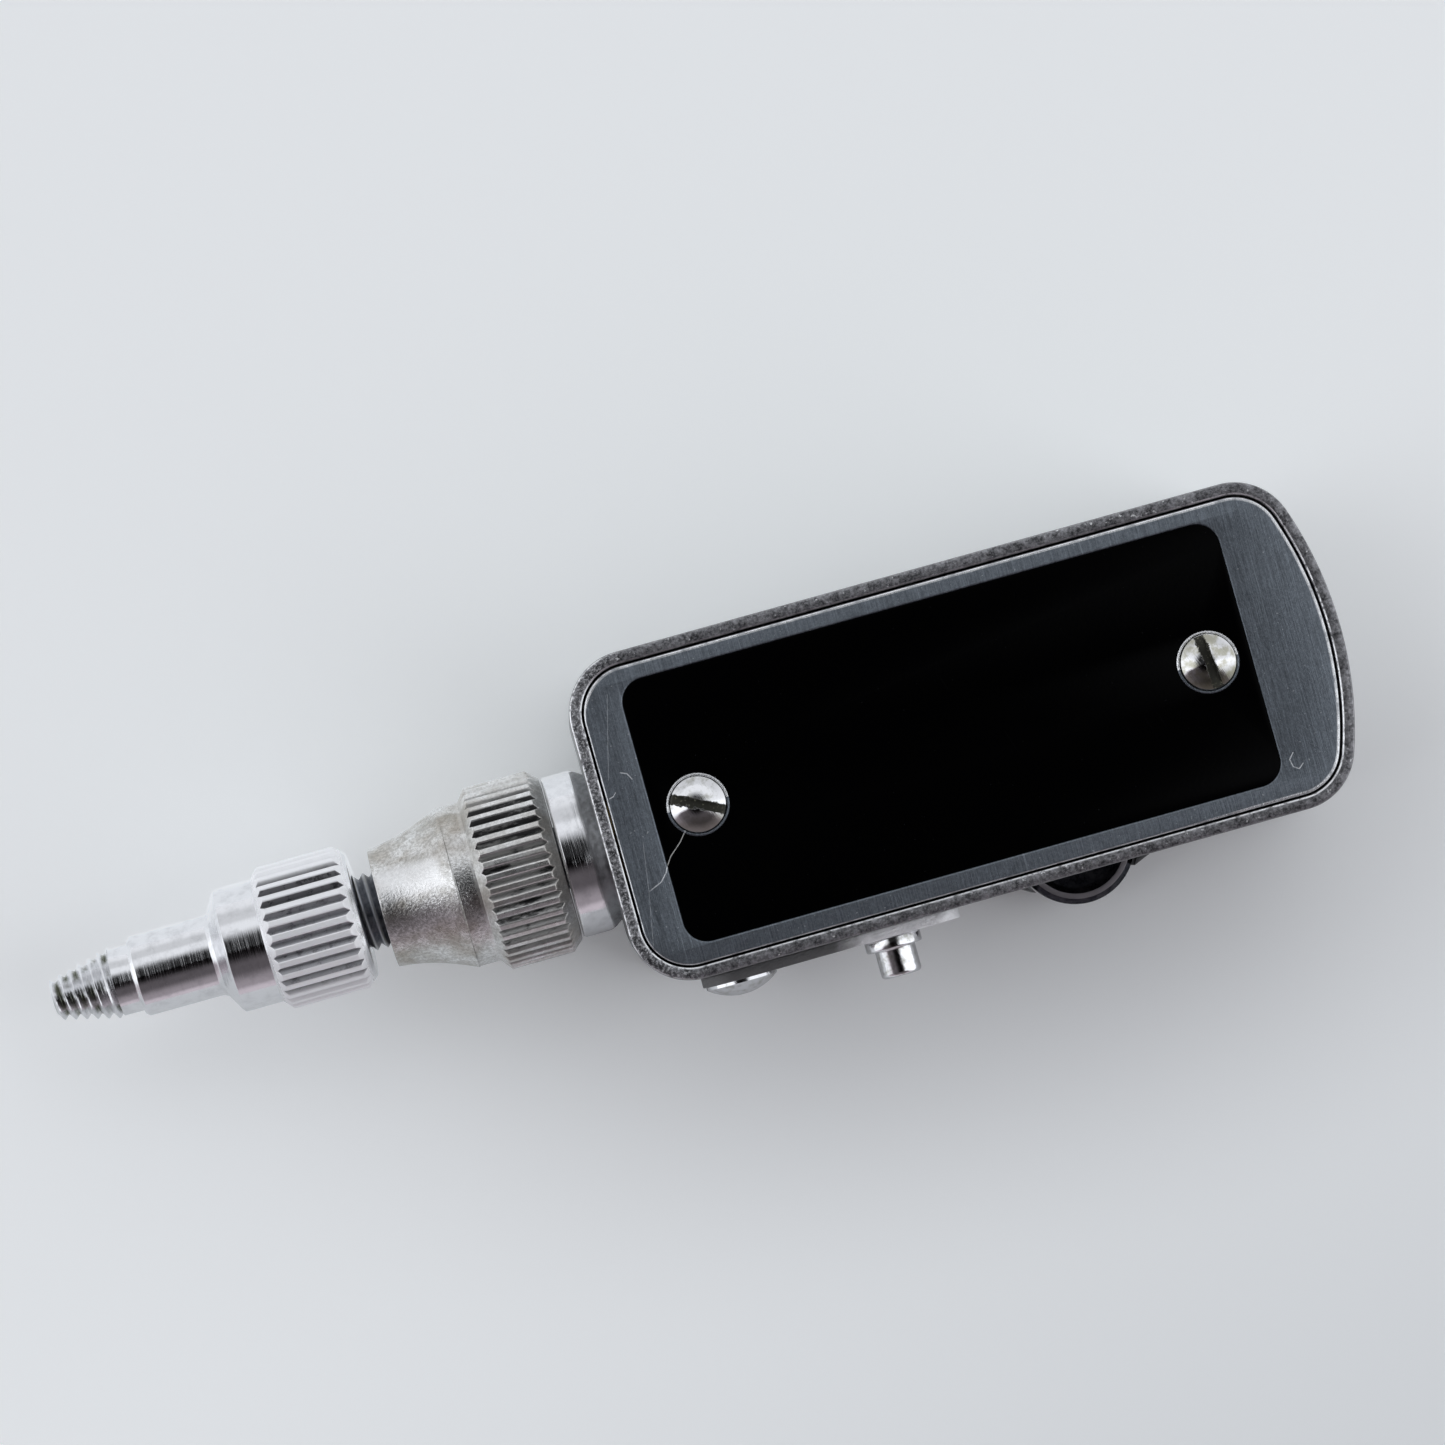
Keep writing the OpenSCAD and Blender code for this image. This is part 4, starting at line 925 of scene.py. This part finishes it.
def wheel_black():
    """Blackened wheel with a painted highlight ring round its dish."""
    finish = Finish("wheel_black")
    radius = hypot(finish.x - WHEEL_AT[0], finish.y - WHEEL_AT[1])
    # Painted highlight: a pale ring on the top of the dish's lip.
    ring = radius.near(RIM_R - 0.38, 0.11, 0.03) * finish.z.step(RIM_TOP - 0.3, RIM_TOP - 0.2)
    turn = finish.noise(radius * 12, 0.0, finish.z * 4, 2.0, 0.6)
    cloud = finish.grain(2.0, 3.0, 0.6)
    black = finish.mixed((0.02, 0.021, 0.026), (0.05, 0.05, 0.056), cloud.step(0.4, 0.7))
    finish.paint(finish.mixed(black, (0.34, 0.32, 0.34), ring))
    finish.rough(0.22 + cloud * 0.12 + ring * 0.1)
    finish.bump(turn, 0.006)
    return finish.material


def movement_brass():
    """Satin brass of the plates and wheels."""
    finish = Finish("movement_brass")
    cloud = finish.grain(0.9, 4.0, 0.6)
    grain = finish.noise(finish.x * 11, finish.y * 0.8, finish.z * 11, 3.0, 0.7)
    finish.paint(finish.mixed((0.66, 0.5, 0.23), (0.5, 0.35, 0.15), cloud.step(0.38, 0.68)))
    finish.rough(0.24 + cloud * 0.14)
    finish.bump(grain, 0.006)
    return finish.material


def movement_steel():
    """Polished steel of the arbors, the rod and the spring."""
    finish = Finish("movement_steel")
    cloud = finish.grain(1.2, 4.0, 0.6)
    grain = finish.noise(finish.x * 3, finish.y * 12, finish.z * 12, 3.0, 0.7)
    finish.paint(finish.mixed((0.56, 0.57, 0.58), (0.4, 0.4, 0.41), cloud.step(0.4, 0.7)))
    finish.rough(0.18 + cloud * 0.14)
    finish.bump(grain, 0.004)
    return finish.material


def blued_steel():
    """Blued steel of the click and the screws."""
    finish = Finish("blued_steel")
    cloud = finish.grain(2.4, 4.0, 0.6)
    finish.paint(finish.mixed((0.045, 0.07, 0.2), (0.09, 0.07, 0.14), cloud.step(0.36, 0.7)))
    finish.rough(0.16 + cloud * 0.12)
    finish.bump(finish.grain(10.0), 0.003)
    return finish.material


def dressed(made, finish, body, slot, *nodes):
    """Gives a finished piece its material and its body, and hides the solids it stands for."""
    made.data.materials.clear()
    made.data.materials.append(finish)
    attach(made, body)
    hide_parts(*nodes)
    return made


def repaint(slot, finish):
    """Gives a finish to the solids of one slot that are shown as they are."""
    for item in frame["record"]["subparts"]:
        if item["material_slot"] == slot:
            solid = frame["nodes"][item["node"]]
            solid.data.materials.clear()
            solid.data.materials.append(finish)


# ---- the nose

def release_tip(chrome, knurl, thread):
    """The chrome tip: tapered screw thread, neck, barrel, step and small knurled grip."""
    screw = grown("tip_thread", thread, chrome, Start=X_THREAD_TIP * MM, End=0.0,
                  Start_Radius=THREAD_TIP_R * MM, End_Radius=THREAD_R * MM, Bore=ROD_BORE_R * MM,
                  Pitch=THREAD_PITCH * MM, Depth=THREAD_DEPTH * MM, Rows=60, Columns=96)
    profile = rounded([
        (-0.1, ROD_BORE_R, 0), (-0.1, 1.3, 0), (0.0, NECK_R, 0), (X_BARREL, NECK_R, 0.08),
        (X_BARREL, BARREL_R - 0.12, 0), (X_BARREL + 0.15, BARREL_R, 0.06),
        (X_STEP - 0.05, BARREL_R, 0.1), (X_STEP + 0.17, 2.07, 0.25),
        (X_STEP + 0.62, STEP_R - 0.14, 0.05), (X_STEP + 0.74, STEP_R, 0.05), (X_GRIP, STEP_R, 0.02),
        (GRIP_LANDS[0], GRIP_R, 0.1), (GRIP_LANDS[1], GRIP_R, 0.2),
        (X_GRIP_END - 0.04, GRIP_R - 0.46, 0.16), (X_GRIP_END, GRIP_R - 0.8, 0.04),
        (X_GRIP_END, TIP_BORE_R, 0.05), (TIP_BORE_START, TIP_BORE_R, 0),
        (TIP_BORE_START, SLEEVE_BORE_R, 0), (0.55, SLEEVE_BORE_R, 0), (0.55, ROD_BORE_R, 0),
    ])
    chamfers = [(X_GRIP, X_GRIP + 0.6, 2.9, 0.05), (X_GRIP_END - 0.75, X_GRIP_END, 2.9, 0.05)]
    body = turned("tip_body", divided(profile, chamfers), GRIP_GROOVES * 12)
    shaped(body, knurl, chrome, Grooves=GRIP_GROOVES, Land_Radius=GRIP_R * MM,
           Depth=KNURL_DEPTH * MM, Half_Width=KNURL_SIDE, Start=X_GRIP * MM, End=X_GRIP_END * MM)
    made = tidy(merged("tip_turning", screw, body), 30)
    return dressed(made, chrome, "tip", "bright_chrome", "release_tip")


def threaded_stem(finish, thread):
    """The black stem: its thread, a plain part in the collar and a journal for the bush."""
    screw = grown("stem_thread", thread, finish, Start=STEM_START * MM, End=STEM_END * MM,
                  Start_Radius=STEM_R * MM, End_Radius=STEM_R * MM, Bore=STEM_BORE_R * MM,
                  Pitch=THREAD_PITCH * MM, Depth=STEM_DEPTH * MM, Rows=116, Columns=96)
    core = STEM_R - 2 * STEM_DEPTH - 0.02
    groove = JOURNAL_R - 0.3
    profile = rounded([
        (STEM_START + 0.2, STEM_BORE_R, 0), (STEM_START + 0.2, core, 0), (STEM_END - 0.1, core, 0),
        (STEM_END - 0.1, STEM_R, 0), (X_SHOULDER, STEM_R, 0), (X_SHOULDER, JOURNAL_R, 0),
        (X_RING, JOURNAL_R, 0), (X_RING, groove, 0), (X_RING + 0.4, groove, 0),
        (X_RING + 0.4, JOURNAL_R, 0.05), (X_RING + 0.8, JOURNAL_R, 0.08),
        (X_RING + 0.8, STEM_END_BORE_R, 0), (X_CONE, STEM_END_BORE_R, 0), (X_CONE, STEM_BORE_R, 0),
    ])
    body = turned("stem_body", profile, 96)
    made = tidy(merged("stem_turning", screw, body), 30)
    return dressed(made, finish, "nose", "black_steel", "threaded_stem")


def swivel_collar(finish, knurl):
    """The dull collar: hollow-flared cone, plain band and big knurled grip."""
    steps = 16
    flare = []
    for i in range(1, steps):
        share = i / steps
        reach = X_CONE + (X_BAND - X_CONE) * share
        flare.append((reach, CONE_R + (BAND_R - CONE_R) * share ** 1.7, 0))
    profile = rounded(
        [(X_CONE, STEM_R, 0), (X_CONE, CONE_R - 0.02, 0.04)] + flare + [
            (X_BAND, BAND_R, 0.012), (X_BAND + 0.05, BAND_R - 0.05, 0.03),
            (X_COLLAR, BAND_R - 0.05, 0.03), (COLLAR_LANDS[0], COLLAR_R, 0.06),
            (COLLAR_LANDS[1], COLLAR_R, 0.12), (X_COLLAR_END - 0.03, COLLAR_R - 0.5, 0.12),
            (X_COLLAR_END, COLLAR_R - 0.9, 0.04), (X_COLLAR_END, JOURNAL_R, 0),
            (X_SHOULDER, JOURNAL_R, 0), (X_SHOULDER, STEM_R, 0),
        ])
    chamfers = [(X_COLLAR, X_COLLAR + 0.6, 3.8, 0.05), (X_COLLAR_END - 0.75, X_COLLAR_END, 3.8, 0.05)]
    made = turned("collar_turning", divided(profile, chamfers), COLLAR_GROOVES * 12)
    shaped(made, knurl, finish, Grooves=COLLAR_GROOVES, Land_Radius=COLLAR_R * MM,
           Depth=KNURL_DEPTH * MM, Half_Width=COLLAR_KNURL_SIDE,
           Start=X_COLLAR * MM, End=X_COLLAR_END * MM)
    return dressed(tidy(made, 30), finish, "nose", "dull_nickel", "swivel_collar")


def base_bush(chrome):
    """The bright bush that the collar turns in, with a sloped foot on the case."""
    profile = rounded([
        (X_BUSH, 1.55, 0), (X_BUSH, BUSH_R - 0.08, 0.04), (X_BUSH + 0.12, BUSH_R, 0.05),
        (X_BUSH + 1.45, BUSH_R, 0.7), (X_CASE - 0.05, BUSH_R - 0.34, 0.06),
        (X_CASE, BUSH_R - 0.36, 0), (X_CASE, 3.0, 0), (X_CASE + 2, 3.0, 0.1), (X_CASE + 2, 1.55, 0),
    ])
    made = tidy(turned("bush_turning", profile, 192))
    return dressed(made, chrome, "case", "bright_chrome", "base_bush")


def plunger_rod(steel):
    """The rod that comes out of the tip, chamfered at its end."""
    low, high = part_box("plunger_rod")
    start, end = low[0] / MM, high[0] / MM
    profile = rounded([
        (start, 0, 0), (start, ROD_R - 0.15, 0), (start + 0.15, ROD_R, 0.05),
        (end, ROD_R, 0), (end, 0, 0),
    ])
    made = tidy(turned("plunger_turning", profile, 48))
    return dressed(made, steel, "plunger", "movement_steel", "plunger_rod")


# ---- the case

def case_tray(sheet):
    """The tray: rounded back edge, wall, turned rim and inside, with the wheel's slot."""
    levels = []
    for k in range(7):
        angle = math.radians(90 - 15 * k)
        in_by, up_by = 1 - math.cos(angle), 1 - math.sin(angle)
        levels.append((BACK_EDGE_R * in_by, Z_BACK + BACK_EDGE_R * up_by))
    levels += [(0, -5), (0, -2), (0, 2), (0, Z_RIM - 0.16), (0.04, Z_RIM - 0.05), (0.13, Z_RIM)]
    levels += [(WALL - 0.1, Z_RIM), (WALL - 0.03, Z_RIM - 0.03), (WALL, Z_RIM - 0.1), (WALL, 0)]
    levels += [(WALL, Z_FLOOR + 0.3), (WALL + 0.09, Z_FLOOR + 0.09), (WALL + 0.3, Z_FLOOR)]
    loops = [[(x, y, z) for x, y in case_outline(inset, 2)] for inset, z in levels]
    tray = tidy(skinned("case_tray", loops), 40)
    slot = prism("slot_cutter", arc(WHEEL_AT, RIM_R + RIM_GAP, 0, 350, 70), SLOT_LOW, SLOT_HIGH)
    tidy(slot)
    cut = tray.modifiers.new("slot", "BOOLEAN")
    cut.operation = "DIFFERENCE"
    cut.object = slot
    cut.solver = "EXACT"
    applied(tray)
    bpy.data.objects.remove(slot)
    made = merged("case_sheet_metal", tray, lip(1, 1.15), lip(-1, 0.6))
    return dressed(tidy(made, 38, 0.0001), sheet, "case", "case_sheet", "case_shell")


def lip(side, length):
    """A flap pressed out of the wall, whose tip comes near the winding wheel."""
    rise = LIP_T * math.hypot(length, LIP_OUT) / length
    depth = WHEEL_AT[1] - Y_LOW + LIP_OUT
    tip = math.sqrt((RIM_R + LIP_GAP) ** 2 - depth ** 2)
    tip_in = math.sqrt((RIM_R + LIP_GAP) ** 2 - (depth - rise) ** 2)
    root = math.sqrt((RIM_R + RIM_GAP) ** 2 - (depth - rise) ** 2) + length
    inner = root - length * rise / LIP_OUT
    outline = [
        (root, WALL / 2), (root, 0), (tip, -LIP_OUT), (tip_in, rise - LIP_OUT),
        (inner, 0), (inner, WALL / 2),
    ]
    if side < 0:
        outline = [(-a, b) for a, b in reversed(outline)]
    made = prism("lip", [(WHEEL_AT[0] + a, Y_LOW + b) for a, b in outline], SLOT_LOW, SLOT_HIGH)
    soft = made.modifiers.new("edge", "BEVEL")
    soft.width = 0.04 * MM
    soft.segments = 2
    return applied(made)


def face_plate(finish):
    """The plate with its bevelled edge, and the bare rings round the screws."""
    loops = [case_outline(FACE_INSET, 2), panel_outline()]
    frame_part = plate("face_frame", loops, Z_FACE, Z_FACE_TOP, 0.1)
    under = Z_FACE_TOP - ENAMEL_T
    base = plate("face_base", [case_outline(FACE_INSET + 0.1)], Z_FACE + 0.05, under, 0.01)
    rings = []
    rim = COVER_R + COVER_RING
    profile = rounded([
        (-0.2, COVER_R - 0.3, 0), (-0.12, COVER_R - 0.3, 0), (-0.12, rim - 0.17, 0),
        (-0.02, rim - 0.17, 0), (0.04, rim - 0.12, 0.03), (0.04, rim - 0.06, 0.03),
        (-0.03, rim, 0.03), (-0.2, rim, 0),
    ])
    for x, y in COVER_AT:
        ring = turned("ring", profile, 96)
        rings.append(moved(ring, on_plane((x, y, Z_FACE_TOP), (0, 0, 1), (0, 1, 0))))
    made = tidy(merged("face_sheet_metal", frame_part, base, *rings), 35)
    return dressed(made, finish, "case", "face_aluminium", "face_plate")


def enamel_panel(finish):
    """The bare black field, open round both screws."""
    holes = [arc(at, COVER_R + COVER_RING, 0, 355, 71) for at in COVER_AT]
    made = plate("enamel_field", [panel_outline(), *holes], Z_FACE_TOP - ENAMEL_T, Z_FACE_TOP, 0.02)
    return dressed(tidy(made, 35), finish, "case", "black_enamel", "panel_enamel")


def domed_screw(name, dome, finish, radius, height, turn, shank_r, depth, place):
    """A slotted dome on a plain shank along Z, taken to its place."""
    head = grown(name, dome, finish, Radius=radius * MM, Height=height * MM, Edge=HEAD_EDGE * MM,
                 Slot_Width=SLOT_W * MM, Slot_Floor=(height - SLOT_DEPTH) * MM,
                 Slot_Turn=math.radians(turn))
    shank = turned("shank", [(-depth, 0), (-depth, shank_r), (0.05, shank_r), (0.05, 0)], 48)
    moved(shank, on_plane((0, 0, 0), (0, 0, 1), (0, 1, 0)))
    return moved(merged(name, head, shank), place)


def cover_screws(dome, chrome):
    """Both domed screws of the face plate."""
    parts = []
    for (x, y), turn in zip(COVER_AT, COVER_TURN):
        place = Matrix.Translation(Vector((x, y, Z_FACE_TOP)) * MM)
        parts.append(domed_screw("cover_screw", dome, chrome, COVER_R, COVER_H, turn,
                                 COVER_SHANK_R, COVER_SHANK_LEN, place))
    made = tidy(merged("cover_screw_pair", *parts), 30)
    return dressed(made, chrome, "case", "bright_chrome", "cover_screws")


# ---- the start lever

def lever_strip(finish):
    """The flat lever: two round ends joined by their common tangents."""
    end = LEVER_LEN - LEVER_END_R
    lean = math.degrees(math.asin((LEVER_R - LEVER_END_R) / end))
    outline = arc((0, 0), LEVER_R, 90 - lean, 270 + lean, 36)
    outline += arc((end, 0), LEVER_END_R, -90 + lean, 90 - lean, 28)
    made = plate("lever_strip", [outline], 0, LEVER_T, 0.06)
    moved(made, on_plane(PIVOT, (1, 0, 0), (0, 0, 1)))
    return dressed(tidy(made, 35), finish, "lever", "lever_steel", "start_lever")


def lever_stud(chrome):
    """A stud riveted in the strip, with a flange and a rounded finger pin."""
    pin = LEVER_T + FLANGE_T
    profile = rounded([
        (0, 0, 0), (0, RIVET_R, 0), (LEVER_T, RIVET_R, 0), (LEVER_T, FLANGE_R, 0.05),
        (pin, FLANGE_R, 0.1), (pin, STUD_R, 0.08), (pin + STUD_LEN, STUD_R, 0.2),
        (pin + STUD_LEN, 0, 0),
    ])
    made = turned("lever_stud_turning", profile, 96)
    moved(made, on_plane((STUD_X, PIVOT[1], PIVOT[2]), (0, -1, 0), (0, 0, 1)))
    return dressed(tidy(made), chrome, "lever", "bright_chrome", "lever_stud")


def lever_screw(dome, chrome):
    """The lever's domed pivot screw, whose shank goes through the wall."""
    seat = (PIVOT[0], PIVOT[1] - LEVER_T, PIVOT[2])
    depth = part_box("lever_screw")[1][1] / MM - seat[1]
    made = domed_screw("pivot_screw", dome, chrome, PIVOT_HEAD_R, PIVOT_HEAD_H, 0,
                       PIVOT_SHANK_R, depth, on_plane(seat, (1, 0, 0), (0, 0, 1)))
    return dressed(tidy(made, 30), chrome, "lever", "bright_chrome", "lever_screw")


# ---- the winding wheel

def gear_tier():
    """The wheel's toothed lower tier. A tooth is drawn in parts of its pitch and modules."""
    tooth = [(-0.24, -1.15), (-0.2, 0.0), (-0.13, 0.55), (-0.05, 0.85)]
    tooth += [(-a, b) for a, b in reversed(tooth)]
    outline = []
    for i in range(WHEEL_TEETH):
        for a, b in tooth:
            angle = (i + a) * TURN / WHEEL_TEETH
            radius = (WHEEL_TEETH / 2 + b) * WHEEL_MODULE
            x, y = radius * math.cos(angle), radius * math.sin(angle)
            outline.append((WHEEL_AT[0] + x, WHEEL_AT[1] + y))
    return prism("gear_tier", outline, GEAR_LOW, RIM_LOW)


def winding_wheel(finish):
    """The thumb wheel: a dished rim with chamfered edges above a toothed tier."""
    chamfer = 0.25
    lip_in = RIM_R - chamfer - 0.28
    tall = RIM_TOP - RIM_LOW
    dish = tall - 0.35
    profile = rounded([
        (0, WHEEL_BORE_R, 0), (0, RIM_R - chamfer, 0), (chamfer, RIM_R, 0.08),
        (tall - chamfer, RIM_R, 0.08), (tall, RIM_R - chamfer, 0.04), (tall, lip_in, 0.05),
        (dish, lip_in - chamfer, 0.1), (dish, WHEEL_BORE_R, 0),
    ])
    rim = turned("wheel_rim", profile, 160)
    moved(rim, on_plane((*WHEEL_AT, RIM_LOW), (0, 0, 1), (0, 1, 0)))
    made = tidy(merged("thumb_wheel", rim, gear_tier()), 35)
    return dressed(made, finish, "winding", "wheel_black", "winding_wheel")


# ---- stage

def camera():
    """Stands above the face, turned so that the nose points down and left."""
    stand = Vector(CAMERA_STAND) * MM
    roll = math.radians(CAMERA_ROLL)
    ahead = (Vector(CAMERA_AIM) * MM - stand).normalized()
    right = ahead.cross(Vector((math.sin(roll), math.cos(roll), 0))).normalized()
    up = right.cross(ahead)
    made = placed("camera", bpy.data.cameras.new("camera"))
    made.data.sensor_width = 36
    made.data.lens = CAMERA_LENS
    made.data.clip_start = 0.01
    made.matrix_world = Matrix.Translation(stand) @ Matrix((right, up, -ahead)).transposed().to_4x4()
    bpy.context.scene.camera = made


def floor():
    """Pale paper with painted shade that darkens it to one side and a painted shadow below the case.
    Metal sees it brighter behind the case and the nose, and darker in front by painted shade.
    """
    size = 400
    corners = [(-size, -size, 0), (size, -size, 0), (size, size, 0), (-size, size, 0)]
    made = new_object("floor", corners, [(0, 1, 2, 3)])
    moved(made, Matrix.Translation((0.03, 0, (Z_BACK - 0.005) * MM)))
    finish = Finish("floor_paper", metallic=0.0, roughness=0.6)
    # Painted shade: the paper seen by the camera darkens towards +x and -y.
    slope = (finish.x * 0.35 - finish.y * 0.9).step(15.0, 68.0)
    path = finish.tree.nodes.new("ShaderNodeLightPath")
    seen = finish.mixed((0.98, 1.0, 1.0), (0.75, 0.77, 0.78), slope)
    # Painted shade: other rays see the paper darker in front of the case (-y).
    bounce_with_painted_shade = finish.mixed((0.68, 0.69, 0.7), (0.98, 0.99, 1.0), finish.y.step(-3.0, 3.0))
    finish.paint(finish.mixed(bounce_with_painted_shade, seen, path.outputs["Is Camera Ray"]))
    # Painted shadow: the camera's lift fades below the case's lower side.
    outside_painted_shadow = hypot((finish.x - 42.0) / 24, (finish.y + 11.0) / 9).step(0.3, 1.7) * 0.9 + 0.1
    lift = outside_painted_shadow * Number(finish.tree, path.outputs["Is Camera Ray"])
    bare = finish.y.step(-3.0, 3.0).do("MAXIMUM", finish.x.step(22.0, 14.0) * 0.6)
    lift = lift + Number(finish.tree, path.outputs["Is Glossy Ray"]) * bare * 3.5
    finish.shader.inputs["Emission Color"].default_value = (0.92, 0.98, 1.0, 1)
    plug(finish.tree, finish.shader.inputs["Emission Strength"], lift * 0.1)
    finish.shader.inputs["Specular IOR Level"].default_value = 0.1
    made.data.materials.append(finish.material)


def studio():
    """Soft light from the top and both sides, a dim front and a dark spot overhead."""
    world = bpy.data.worlds.new("studio")
    bpy.context.scene.world = world
    world.use_nodes = True
    tree = world.node_tree
    back = tree.nodes["Background"]
    where = tree.nodes.new("ShaderNodeTexCoord")
    x, y, z = split(tree, where.outputs["Generated"])
    lean = math.radians(LIGHT_TURN)
    right = x * math.cos(lean) - y * math.sin(lean)
    top = x * math.sin(lean) + y * math.cos(lean)
    flat = hypot(right, top).do("MAXIMUM", 0.001)
    heading = top / flat
    front = (heading + flat.step(0.7, 0.9) * 0.09).step(-0.36, -0.5)
    sides = heading.near(-0.1, 0.22, 0.2)
    spot = hypot((right + 0.05) / 0.38, (top - 0.02) / 0.42)
    overhead = spot.step(1.35, 0.65) * z.step(0.0, 0.1)
    band = flat.near(0.86, 0.06, 0.08) * heading.step(0.3, 0.8)
    bright = (1.03 - band * 0.25 + sides * 0.42) * (1.0 - front)
    light = bright + front * (0.11 + flat.step(0.7, 0.96) * 0.24 + flat.step(0.96, 1.0) * 0.28)
    light = light * (1.0 - overhead * 0.98)
    plug(tree, back.inputs["Strength"], light)
    plug(tree, back.inputs["Color"], mixed(tree, (0.97, 0.99, 1.03), (1.06, 0.95, 1.04), front))
    bpy.context.scene.view_settings.view_transform = "Standard"


def build():
    camera()
    floor()
    studio()
    chrome = turned_chrome()
    knurl = knurl_tree()
    thread = thread_tree()
    dome = dome_tree()
    steel = movement_steel()
    release_tip(chrome, knurl, thread)
    threaded_stem(black_steel(), thread)
    swivel_collar(dull_nickel(), knurl)
    base_bush(chrome)
    plunger_rod(steel)
    case_tray(case_sheet())
    face_plate(face_aluminium())
    enamel_panel(black_enamel())
    cover_screws(dome, polished_chrome("cover_chrome", cover_slots, cover_stains))
    lever_strip(lever_steel())
    lever_stud(polished_chrome("stud_chrome"))
    lever_screw(dome, polished_chrome("pivot_chrome", pivot_slot))
    winding_wheel(wheel_black())
    repaint("movement_brass", movement_brass())
    repaint("movement_steel", steel)
    repaint("blued_steel", blued_steel())


build()
